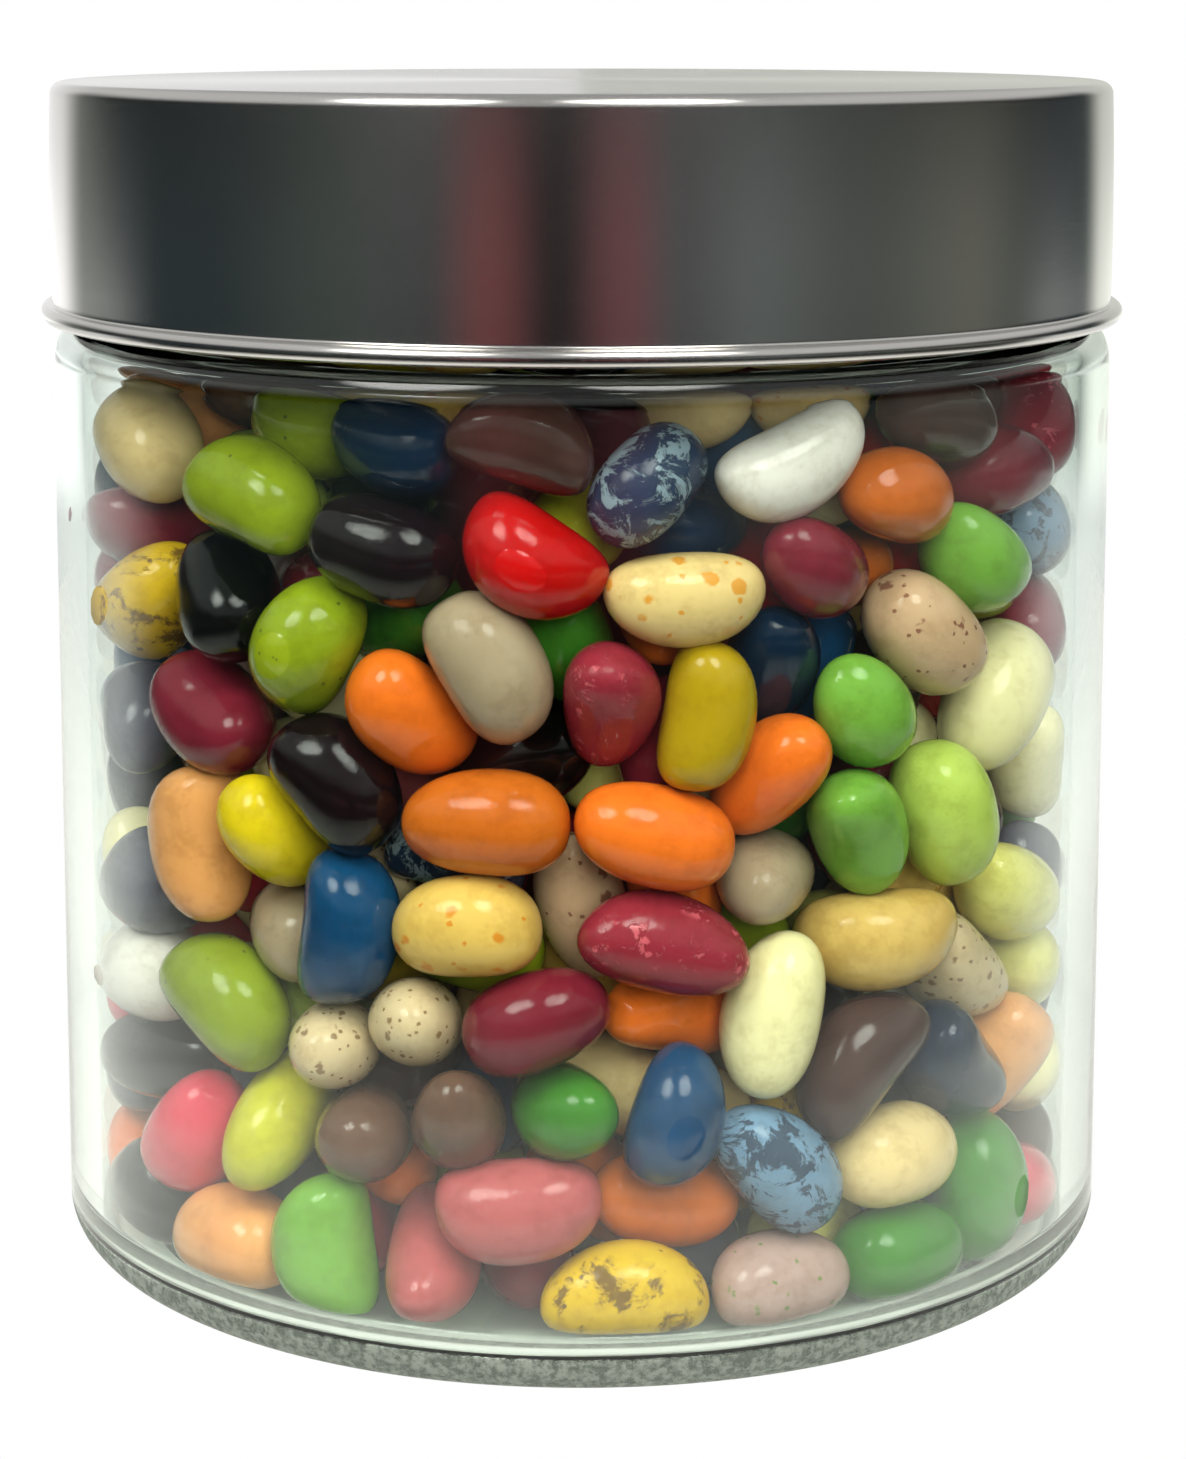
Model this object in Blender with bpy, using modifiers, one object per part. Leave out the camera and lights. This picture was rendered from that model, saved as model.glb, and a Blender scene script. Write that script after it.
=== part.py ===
"""Jar of jelly beans: a turned glass jar, its drawn steel cap, and the beans that fill it.

The origin is at the centre of the jar's underside, +Z is up, and lengths are in metres.
The beans are one node: a plain core with the beans that show at the wall, on top and
underneath fused to it, each at its true size.
"""
import math
import random

import bmesh
import bpy
from mathutils import Matrix, Vector

# Whole jar
JAR_RADIUS = 0.0600
JAR_HEIGHT = 0.1320
SIDES = 48
FIT_GAP = 0.0003

# Glass
WALL = 0.0032
BASE_THICKNESS = 0.0031
HEEL_RADIUS = 0.0045
INNER_HEEL_RADIUS = 0.0040
BEARING_RING_WIDTH = 0.0045
UNDERSIDE_RISE = 0.0008
SHOULDER_START = 0.1010
SHOULDER_RADIUS = 0.0055
SHOULDER_TURN = math.radians(60)
NECK_FILLET = 0.0015
RIM_RADIUS = 0.0012

# Steel cap
CAP_RADIUS = 0.0600
CAP_TOP_RADIUS = 0.0598
CAP_SHEET = 0.0006
CAP_CORNER = 0.0020
BEAD_RADIUS = 0.0613
BEAD_HEIGHT = 0.0019
BEAD_BOTTOM = 0.1055

# Beans
BEAN_LENGTH = 0.0162
BEAN_WIDTH = 0.0098
BEAN_SIZES = (0.93, 1.08)
BEAN_FULLNESS = 2.6
BEAN_BENDS = (0.0002, 0.0015)
BEAN_SIDES = 6
BEAN_RINGS = 4
SEATING_STEPS = 6
HEAP_BOTTOM = BASE_THICKNESS + FIT_GAP
HEAP_TOP = 0.0990
HEAP_TOP_SWELL = 0.0025
CORE_RADIUS = 0.0497
CORE_INSET = 0.0050
CORE_SIDES = 24
WALL_ROWS = 9
WALL_COLUMNS = 22
WALL_SCATTER = 0.14
WALL_TIP = 0.25
TOP_BEANS = 40
BOTTOM_BEANS = 26
LAYER_RADIUS = 0.0450
LAYER_TIP = 0.3
HEAP_TRIANGLES = 9000
CREASE_ANGLE = math.radians(50)
SEED = 1117

# Finishes: base colour, roughness, metallic, transmission
GLASS_FINISH = ((0.93, 0.96, 0.94, 1.0), 0.03, 0.0, 1.0)
STEEL_FINISH = ((0.52, 0.51, 0.48, 1.0), 0.30, 1.0, 0.0)
BEAN_FINISH = ((0.72, 0.33, 0.10, 1.0), 0.28, 0.0, 0.0)


def make_material(name, finish):
    """Returns a Principled material in one finish."""
    colour, roughness, metallic, transmission = finish
    material = bpy.data.materials.new(name)
    material.use_nodes = True
    shader = material.node_tree.nodes["Principled BSDF"]
    shader.inputs["Base Color"].default_value = colour
    shader.inputs["Roughness"].default_value = roughness
    shader.inputs["Metallic"].default_value = metallic
    shader.inputs["Transmission Weight"].default_value = transmission
    material.diffuse_color = colour
    return material


def arc(centre, radius, start, end, steps):
    """Returns points of an arc in the profile plane, both ends included."""
    points = []
    for step in range(steps + 1):
        angle = start + (end - start) * step / steps
        points.append((centre[0] + radius * math.cos(angle), centre[1] + radius * math.sin(angle)))
    return points


def turned(name, profile, material, collection):
    """Turns a profile of (radius, height) points about Z; its outer side runs down."""
    mesh = bpy.data.meshes.new(name)
    points = [(radius, 0.0, height) for radius, height in profile]
    mesh.from_pydata(points, [(i, i + 1) for i in range(len(points) - 1)], [])
    piece = bpy.data.objects.new(name, mesh)
    collection.objects.link(piece)
    screw = piece.modifiers.new("turn", "SCREW")
    screw.steps = SIDES
    screw.render_steps = SIDES
    screw.use_merge_vertices = True
    screw.merge_threshold = 0.00001
    mesh.materials.append(material)
    return piece


def shoulder_side(wall_radius, arc_radius, fillet):
    """Returns one side of the shoulder, from the wall up to the neck."""
    centre = (JAR_RADIUS - SHOULDER_RADIUS, SHOULDER_START)
    points = [(wall_radius, SHOULDER_START)]
    points += arc(centre, arc_radius, 0.0, SHOULDER_TURN, 4)[1:]
    end_radius, end_height = points[-1]
    fillet_radius = end_radius + fillet * math.cos(SHOULDER_TURN)
    fillet_height = end_height + fillet * math.sin(SHOULDER_TURN)
    points += arc((fillet_radius, fillet_height), fillet, math.pi + SHOULDER_TURN, math.pi, 3)[1:]
    return points


def glass_profile():
    """Returns the jar's profile: up the inside, over the rim, down the outside."""
    inner_radius = JAR_RADIUS - WALL
    rim_height = JAR_HEIGHT - CAP_SHEET - FIT_GAP
    inner_shoulder = shoulder_side(inner_radius, SHOULDER_RADIUS - WALL, NECK_FILLET + WALL)
    outer_shoulder = shoulder_side(JAR_RADIUS, SHOULDER_RADIUS, NECK_FILLET)
    inner_neck = inner_shoulder[-1][0]
    outer_neck = outer_shoulder[-1][0]
    ring_outer = JAR_RADIUS - HEEL_RADIUS
    ring_inner = ring_outer - BEARING_RING_WIDTH
    inner_heel = (inner_radius - INNER_HEEL_RADIUS, BASE_THICKNESS + INNER_HEEL_RADIUS)
    profile = [(0.0, BASE_THICKNESS)]
    profile += arc(inner_heel, INNER_HEEL_RADIUS, -math.pi / 2, 0.0, 4)
    profile += inner_shoulder
    profile += arc((inner_neck + RIM_RADIUS, rim_height - RIM_RADIUS), RIM_RADIUS, math.pi, math.pi / 2, 2)
    profile += arc((outer_neck - RIM_RADIUS, rim_height - RIM_RADIUS), RIM_RADIUS, math.pi / 2, 0.0, 2)
    profile += reversed(outer_shoulder)
    profile += arc((ring_outer, HEEL_RADIUS), HEEL_RADIUS, 0.0, -math.pi / 2, 5)
    profile += [(ring_inner, 0.0), (ring_inner - UNDERSIDE_RISE, UNDERSIDE_RISE), (0.0, UNDERSIDE_RISE)]
    return profile


def cap_profile():
    """Returns the cap's profile: out along the top, down the skirt, round the bead, up inside."""
    bead_centre = BEAD_BOTTOM + BEAD_HEIGHT / 2
    bead_radius = BEAD_HEIGHT / 2
    inside = CAP_RADIUS - CAP_SHEET
    inside_top = CAP_TOP_RADIUS - CAP_SHEET
    underside = JAR_HEIGHT - CAP_SHEET
    corner = (CAP_TOP_RADIUS - CAP_CORNER, JAR_HEIGHT - CAP_CORNER)
    profile = [(0.0, JAR_HEIGHT)]
    profile += arc(corner, CAP_CORNER, math.pi / 2, 0.0, 4)
    profile += [(CAP_RADIUS, BEAD_BOTTOM + BEAD_HEIGHT + FIT_GAP / 3)]
    profile += arc((BEAD_RADIUS - bead_radius, bead_centre), bead_radius, math.pi / 2, -math.pi / 2, 6)
    profile += [(inside, BEAD_BOTTOM)]
    profile += [(inside_top, underside - CAP_CORNER + CAP_SHEET)]
    profile += arc(corner, CAP_CORNER - CAP_SHEET, 0.0, math.pi / 2, 2)[1:]
    profile += [(0.0, underside)]
    return profile


def inner_wall_radius(height):
    """Returns the radius of the glass's inside at a height."""
    inner_radius = JAR_RADIUS - WALL
    heel_top = BASE_THICKNESS + INNER_HEEL_RADIUS
    if height < heel_top:
        drop = min(heel_top - height, INNER_HEEL_RADIUS)
        return inner_radius - INNER_HEEL_RADIUS + math.sqrt(INNER_HEEL_RADIUS ** 2 - drop ** 2)
    side = shoulder_side(inner_radius, SHOULDER_RADIUS - WALL, NECK_FILLET + WALL)
    for (low_radius, low), (high_radius, high) in zip(side, side[1:]):
        if low <= height <= high:
            return low_radius + (high_radius - low_radius) * (height - low) / (high - low)
    return inner_radius if height < SHOULDER_START else side[-1][0]


def bean_mesh(length, width, bend):
    """Returns a faceted bean along its own Z, bowed towards +X."""
    shape = bmesh.new()
    bmesh.ops.create_uvsphere(shape, u_segments=BEAN_SIDES, v_segments=BEAN_RINGS, radius=1.0)
    for vert in shape.verts:
        along = max(-1.0, min(1.0, vert.co.z))
        girth = math.hypot(vert.co.x, vert.co.y)
        full = (1.0 - abs(along) ** BEAN_FULLNESS) ** (1.0 / BEAN_FULLNESS)
        swell = full / girth if girth > 0.01 else 0.0
        vert.co.x = vert.co.x * swell * width / 2 + bend * (0.5 - along * along)
        vert.co.y = vert.co.y * swell * width / 2
        vert.co.z = along * length / 2
    mesh = bpy.data.meshes.new("bean")
    shape.to_mesh(mesh)
    shape.free()
    return mesh


def seat_clear(mesh, turn, place, outward):
    """Returns the bean's place, moved up and inwards until it is clear of the glass."""
    facet = math.cos(math.pi / SIDES)
    corners = [turn @ vert.co for vert in mesh.vertices]
    for _ in range(SEATING_STEPS):
        points = [corner + place for corner in corners]
        place.z += max(0.0, HEAP_BOTTOM - min(point.z for point in points))
        excess = max(point.xy.length - inner_wall_radius(point.z) * facet for point in points)
        place -= outward * max(0.0, excess + FIT_GAP)
    return place


def add_bean(size, place, outward, along, draw, beans):
    """Adds one bean that lies along a direction, to the collection of loose beans."""
    mesh = bean_mesh(BEAN_LENGTH * size, BEAN_WIDTH * size, draw.uniform(*BEAN_BENDS))
    length_axis = along.normalized()
    side_axis = outward.cross(length_axis).normalized()
    bow_axis = side_axis.cross(length_axis).normalized()
    spin = Matrix.Rotation(draw.uniform(0.0, math.tau), 3, "Z")
    turn = Matrix((bow_axis, length_axis.cross(bow_axis), length_axis)).transposed() @ spin
    radial = Vector((place.x, place.y, 0.0))
    push = radial.normalized() if radial.length > 0.001 else Vector((0.0, 0.0, 0.0))
    place = seat_clear(mesh, turn, place.copy(), push)
    bean = bpy.data.objects.new("bean", mesh)
    bean.matrix_world = Matrix.Translation(place) @ turn.to_4x4()
    beans.objects.link(bean)


def wall_places(draw):
    """Yields staggered places at the wall, with the way out and a direction to lie in."""
    reach = JAR_RADIUS - WALL - BEAN_WIDTH / 2
    low = HEAP_BOTTOM + BEAN_WIDTH * 0.55
    pitch = (HEAP_TOP - BEAN_WIDTH * 0.5 - low) / (WALL_ROWS - 1)
    for row in range(WALL_ROWS):
        for column in range(WALL_COLUMNS):
            stagger = 0.5 * (row % 2) + draw.uniform(-WALL_SCATTER, WALL_SCATTER)
            angle = math.tau * (column + stagger) / WALL_COLUMNS
            height = low + pitch * (row + draw.uniform(-WALL_SCATTER, WALL_SCATTER))
            outward = Vector((math.cos(angle), math.sin(angle), 0.0))
            across = Vector((-math.sin(angle), math.cos(angle), 0.0))
            lean = draw.uniform(0.0, math.pi)
            along = across * math.cos(lean) + Vector((0, 0, 1)) * math.sin(lean)
            along += outward * draw.uniform(-WALL_TIP, WALL_TIP)
            yield outward * reach + Vector((0, 0, height)), outward, along


def layer_places(count, height, swell, face, draw):
    """Yields places of a flat layer, spread like seeds in a sunflower."""
    golden_turn = math.pi * (3.0 - math.sqrt(5.0))
    for number in range(count):
        share = (number + 0.5) / count
        angle = number * golden_turn
        reach = LAYER_RADIUS * math.sqrt(share)
        lean = draw.uniform(0.0, math.pi)
        along = Vector((math.cos(lean), math.sin(lean), draw.uniform(-LAYER_TIP, LAYER_TIP)))
        rise = swell * (1.0 - share)
        yield Vector((reach * math.cos(angle), reach * math.sin(angle), height + rise)), face, along


def keep_one_body(mesh):
    """Drops loose scraps and the walls of sealed hollows, and keeps the largest body."""
    shape = bmesh.new()
    shape.from_mesh(mesh)
    left = set(shape.verts)
    bodies = []
    while left:
        stack = [left.pop()]
        body = set(stack)
        while stack:
            for edge in stack.pop().link_edges:
                for vert in edge.verts:
                    if vert not in body:
                        body.add(vert)
                        stack.append(vert)
        left -= body
        bodies.append(body)
    largest = max(bodies, key=len)
    bmesh.ops.delete(shape, geom=[vert for vert in shape.verts if vert not in largest], context="VERTS")
    shape.to_mesh(mesh)
    shape.free()


def build_heap(material, collection, tools):
    """Builds the heap: a core with the beans that show fused on by one union."""
    draw = random.Random(SEED)
    beans = bpy.data.collections.new("loose beans")
    tools.children.link(beans)
    up = Vector((0, 0, 1))
    places = list(wall_places(draw))
    places += list(layer_places(TOP_BEANS, HEAP_TOP - BEAN_WIDTH * 0.5, HEAP_TOP_SWELL, up, draw))
    places += list(layer_places(BOTTOM_BEANS, HEAP_BOTTOM + BEAN_WIDTH * 0.5, 0.0, -up, draw))
    sizes = sorted((draw.uniform(*BEAN_SIZES) for _ in places), reverse=True)
    for size, (place, outward, along) in zip(sizes, places):
        add_bean(size, place, outward, along, draw, beans)

    core_low = HEAP_BOTTOM + CORE_INSET
    core_high = HEAP_TOP - CORE_INSET
    bpy.ops.mesh.primitive_cylinder_add(
        vertices=CORE_SIDES, radius=CORE_RADIUS, depth=core_high - core_low,
        location=(0.0, 0.0, (core_low + core_high) / 2))
    core = bpy.context.object
    union = core.modifiers.new("fuse the beans", "BOOLEAN")
    union.operation = "UNION"
    union.operand_type = "COLLECTION"
    union.collection = beans
    union.solver = "EXACT"

    fused = bpy.data.meshes.new_from_object(core.evaluated_get(bpy.context.evaluated_depsgraph_get()))
    fused.transform(core.matrix_world)
    for loose in list(beans.objects) + [core]:
        bpy.data.objects.remove(loose, do_unlink=True)
    bpy.data.collections.remove(beans)
    keep_one_body(fused)
    fused.materials.clear()
    fused.materials.append(material)
    fused.shade_smooth()
    fused.set_sharp_from_angle(angle=CREASE_ANGLE)
    heap = bpy.data.objects.new("jelly_beans", fused)
    collection.objects.link(heap)
    thin = heap.modifiers.new("drop the slivers", "DECIMATE")
    thin.ratio = min(1.0, HEAP_TRIANGLES / sum(len(face.vertices) - 2 for face in fused.polygons))


def main():
    """Clears the scene and builds the jar, its cap and the beans."""
    for old in list(bpy.data.objects):
        bpy.data.objects.remove(old, do_unlink=True)
    parts = bpy.data.collections.new("jar of jelly beans")
    tools = bpy.data.collections.new("construction")
    bpy.context.scene.collection.children.link(parts)
    bpy.context.scene.collection.children.link(tools)

    turned("glass_jar", glass_profile(), make_material("glass", GLASS_FINISH), parts)
    turned("lid", cap_profile(), make_material("brushed steel", STEEL_FINISH), parts)
    build_heap(make_material("jelly beans", BEAN_FINISH), parts, tools)


main()
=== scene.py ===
"""Looks of a jar of jelly beans: turned glass, a brushed steel cap, and the beans one by one.

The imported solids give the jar's size and place. This script makes the fine surfaces over them: the
clear glass with its thick foot and rolled shoulder, the cap with its bead, and the beans, which a
seeded relaxation packs until they hardly cut into each other. The beans at the front lie close to
where the photograph shows them. Lengths are in metres.
"""
import logging
import math
from dataclasses import dataclass, field
from enum import Enum

import bpy
import numpy as np
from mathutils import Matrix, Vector


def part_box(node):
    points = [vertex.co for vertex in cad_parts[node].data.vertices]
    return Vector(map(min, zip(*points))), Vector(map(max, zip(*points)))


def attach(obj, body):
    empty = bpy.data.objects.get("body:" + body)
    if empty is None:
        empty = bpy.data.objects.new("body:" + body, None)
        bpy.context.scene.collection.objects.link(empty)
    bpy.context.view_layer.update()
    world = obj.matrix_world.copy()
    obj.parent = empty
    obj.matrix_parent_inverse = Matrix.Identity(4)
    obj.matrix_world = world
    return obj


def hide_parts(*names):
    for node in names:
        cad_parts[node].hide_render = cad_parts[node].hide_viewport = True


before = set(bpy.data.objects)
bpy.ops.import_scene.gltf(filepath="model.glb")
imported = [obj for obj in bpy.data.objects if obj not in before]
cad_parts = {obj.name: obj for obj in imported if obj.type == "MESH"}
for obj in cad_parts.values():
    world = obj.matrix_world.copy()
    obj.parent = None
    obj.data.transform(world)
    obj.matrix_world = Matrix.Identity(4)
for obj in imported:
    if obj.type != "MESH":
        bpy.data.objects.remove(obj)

LOG = logging.getLogger("jelly_bean_jar")
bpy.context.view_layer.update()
MILLIMETRE = 0.001

Colour = tuple[float, float, float]
Profile = list[tuple[float, float]]
Span = tuple[float, float]


def linear(colour: Colour) -> tuple[float, float, float, float]:
    """Turns a display colour into the renderer's linear light.

    Args:
        colour: red, green and blue from 0 to 255, as a screen shows them.

    Returns:
        The linear colour with an alpha of 1.
    """
    parts = [channel / 255.0 for channel in colour]
    light = [part / 12.92 if part <= 0.04045 else ((part + 0.055) / 1.055) ** 2.4 for part in parts]
    return light[0], light[1], light[2], 1.0


def arc(centre: tuple[float, float], radius: float, start: float, end: float, steps: int) -> Profile:
    """Walks an arc in the profile plane.

    Args:
        centre: radius and height of the arc's centre.
        radius: the arc's own radius.
        start: first angle in degrees, from the outward direction.
        end: last angle in degrees.
        steps: number of straight pieces.

    Returns:
        The points, both ends included.
    """
    angles = [math.radians(start + (end - start) * step / steps) for step in range(steps + 1)]
    return [(centre[0] + radius * math.cos(a), centre[1] + radius * math.sin(a)) for a in angles]


def turned(name: str, profile: Profile, sides: int, crease: float) -> bpy.types.Object:
    """Turns a profile about Z into a smooth closed mesh.

    Args:
        name: name of the new object.
        profile: points of radius and height, whose outer side runs down.
        sides: number of steps in the full turn.
        crease: angle in degrees past which an edge stays sharp.

    Returns:
        The turned object, linked to the scene.
    """
    line = bpy.data.meshes.new(name + "_profile")
    corners = [(radius, 0.0, height) for radius, height in profile]
    line.from_pydata(corners, [(i, i + 1) for i in range(len(corners) - 1)], [])
    wire = bpy.data.objects.new(name + "_profile", line)
    bpy.context.scene.collection.objects.link(wire)
    screw = wire.modifiers.new("turn", "SCREW")
    screw.steps = sides
    screw.render_steps = sides
    screw.use_merge_vertices = True
    screw.merge_threshold = 0.000002
    solid = bpy.data.meshes.new_from_object(wire.evaluated_get(bpy.context.evaluated_depsgraph_get()))
    bpy.data.objects.remove(wire, do_unlink=True)
    solid.name = name
    solid.shade_smooth()
    solid.set_sharp_from_angle(angle=math.radians(crease))
    piece = bpy.data.objects.new(name, solid)
    bpy.context.scene.collection.objects.link(piece)
    return piece


class NodeSketch:
    """The node tree of a material or of the world, with short calls that add nodes and join them."""

    def __init__(self, owner: bpy.types.Material | bpy.types.World) -> None:
        """Empties the node tree of a material or a world.

        Args:
            owner: the material or the world.
        """
        owner.use_nodes = True
        self.owner = owner
        self.tree = owner.node_tree
        self.tree.nodes.clear()
        coordinates = self.tree.nodes.new("ShaderNodeTexCoord")
        self.place = coordinates.outputs["Object"]
        self.way = coordinates.outputs["Generated"]

    @classmethod
    def material(cls, name: str) -> "NodeSketch":
        """Starts an empty material of that name."""
        return cls(bpy.data.materials.new(name))

    def add(self, kind: str, **sockets: object) -> bpy.types.Node:
        """Adds a node and fills its inputs.

        Args:
            kind: node type, without the word ShaderNode before it.
            **sockets: input names, with _ for a space, and a value or an output socket for each.

        Returns:
            The new node.
        """
        node = self.tree.nodes.new("ShaderNode" + kind)
        for name, value in sockets.items():
            self.feed(node.inputs[name.replace("_", " ")], value)
        return node

    def feed(self, socket: bpy.types.NodeSocket, value: object) -> None:
        """Links an output to an input, or sets the input's own value.

        Args:
            socket: the input.
            value: an output's socket, or the value itself.
        """
        if isinstance(value, bpy.types.NodeSocket):
            self.tree.links.new(value, socket)
        else:
            socket.default_value = value

    def maths(self, operation: str, *values: object) -> bpy.types.NodeSocket:
        """Works out one sum.

        Args:
            operation: name of the Math node's operation.
            *values: one to three numbers or sockets.

        Returns:
            The result's socket.
        """
        node = self.tree.nodes.new("ShaderNodeMath")
        node.operation = operation
        for socket, value in zip(node.inputs, values):
            self.feed(socket, value)
        return node.outputs[0]

    def dot(self, first: object, second: object) -> bpy.types.NodeSocket:
        """Works out the dot product of two vectors.

        Args:
            first: a vector or a socket.
            second: a vector or a socket.

        Returns:
            The result's socket.
        """
        node = self.tree.nodes.new("ShaderNodeVectorMath")
        node.operation = "DOT_PRODUCT"
        for socket, value in zip(node.inputs, (first, second)):
            self.feed(socket, value)
        return node.outputs["Value"]

    def noise(self, scale: float, detail: float = 2.0, roughness: float = 0.5, distortion: float = 0.0,
              place: object = None) -> bpy.types.NodeSocket:
        """Adds a noise texture in object space.

        Args:
            scale: features a metre.
            detail: octaves.
            roughness: weight of the finer octaves.
            distortion: how far the pattern is bent.
            place: the coordinates' socket, or None for the object's own.

        Returns:
            The noise's value, from 0 to 1 with a mean of one half.
        """
        node = self.add("TexNoise", Vector=place or self.place, Scale=scale, Detail=detail,
                        Roughness=roughness, Distortion=distortion)
        return node.outputs["Fac"]

    def spots(self, scale: float, size: float, share: float, ragged: float) -> bpy.types.NodeSocket:
        """Scatters spots with ragged edges.

        Args:
            scale: cells a metre, each of which can hold one spot.
            size: radius of a spot, in cells.
            share: share of the cells that hold one.
            ragged: how far its edge wanders, in metres.

        Returns:
            A socket that is 1 on a spot and 0 off it.
        """
        drift = self.add("TexNoise", Vector=self.place, Scale=2.4 * scale, Detail=2.0)
        moved = self.tree.nodes.new("ShaderNodeVectorMath")
        moved.operation = "MULTIPLY_ADD"
        parts = (drift.outputs["Color"], (ragged, ragged, ragged), self.place)
        for socket, value in zip(moved.inputs, parts):
            self.feed(socket, value)
        cells = self.add("TexVoronoi", Vector=moved.outputs[0], Scale=scale)
        pick = self.add("SeparateColor", Color=cells.outputs["Color"])
        near = self.step(cells.outputs["Distance"], 1.25 * size, 0.75 * size)
        return self.maths("MULTIPLY", near, self.maths("LESS_THAN", pick.outputs["Red"], share))

    def step(self, value: object, low: float, high: float) -> bpy.types.NodeSocket:
        """Eases a value from 0 at low to 1 at high.

        Args:
            value: the value's socket.
            low: where the result is 0.
            high: where the result is 1, which may be below low.

        Returns:
            The result's socket.
        """
        node = self.add("MapRange", Value=value, From_Min=low, From_Max=high)
        node.interpolation_type = "SMOOTHSTEP"
        return node.outputs["Result"]

    def mix(self, share: object, first: object, second: object) -> bpy.types.NodeSocket:
        """Mixes two colours.

        Args:
            share: weight of the second colour.
            first: colour or socket shown at 0.
            second: colour or socket shown at 1.

        Returns:
            The mixed colour's socket.
        """
        node = self.tree.nodes.new("ShaderNodeMix")
        node.data_type = "RGBA"
        self.feed(node.inputs[0], share)
        self.feed(node.inputs[6], first)
        self.feed(node.inputs[7], second)
        return node.outputs[2]

    def bump(self, height: object, depth: float, under: object = None) -> bpy.types.NodeSocket:
        """Turns a height into a normal.

        Args:
            height: socket of the height, from 0 to 1.
            depth: height in metres that 1 stands for.
            under: normal of the coarser relief below it, or None.

        Returns:
            The normal's socket.
        """
        node = self.add("Bump", Height=height, Distance=depth, Strength=1.0)
        if under is not None:
            self.feed(node.inputs["Normal"], under)
        return node.outputs["Normal"]

    def blend(self, share: object, first: bpy.types.NodeSocket, second: bpy.types.NodeSocket
              ) -> bpy.types.NodeSocket:
        """Mixes two shaders.

        Args:
            share: weight of the second shader.
            first: shader shown at 0.
            second: shader shown at 1.

        Returns:
            The mixed shader's socket.
        """
        node = self.tree.nodes.new("ShaderNodeMixShader")
        for socket, value in zip(node.inputs, (share, first, second)):
            self.feed(socket, value)
        return node.outputs[0]

    def finish(self, shader: bpy.types.NodeSocket) -> bpy.types.Material | bpy.types.World:
        """Joins a shader to the output.

        Args:
            shader: the finished shader.

        Returns:
            The material or the world.
        """
        world = isinstance(self.owner, bpy.types.World)
        output = self.tree.nodes.new("ShaderNodeOutputWorld" if world else "ShaderNodeOutputMaterial")
        self.tree.links.new(shader, output.inputs["Surface"])
        return self.owner


class Pattern(Enum):
    """How a bean's shell is marked."""

    PLAIN = "plain"
    DOTTED = "dotted"
    TOASTED = "toasted"
    MOTTLED = "mottled"
    SPECKLED = "speckled"
    BLOTCHED = "blotched"
    FLAKED = "flaked"
    CLEAR = "clear"
    FLECKED = "flecked"


class Kind(Enum):
    """The kinds of bean, named for their colours."""

    BLACK = "black"
    PLUM = "plum"
    WHITE = "white"
    RED = "red"
    WINE = "wine"
    MAROON = "maroon"
    CORAL = "coral"
    SALMON = "salmon"
    ORANGE = "orange"
    AMBER = "amber"
    PEACH = "peach"
    APRICOT = "apricot"
    MUSTARD = "mustard"
    YELLOW = "yellow"
    SUNNY = "sunny"
    BUTTER = "butter"
    CREAM = "cream"
    CARAMEL = "caramel"
    SAND = "sand"
    LIME = "lime"
    LEMON_LIME = "lemon_lime"
    PALE_LIME = "pale_lime"
    MELON = "melon"
    GREEN = "green"
    LEAF = "leaf"
    OLIVE = "olive"
    BLUE = "blue"
    NAVY = "navy"
    MARBLED = "marbled"
    STORMY = "stormy"
    SLATE = "slate"
    BROWN = "brown"
    COCOA = "cocoa"
    CHAMPAGNE = "champagne"
    ROSE = "rose"
    FRUITY = "fruity"


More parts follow.
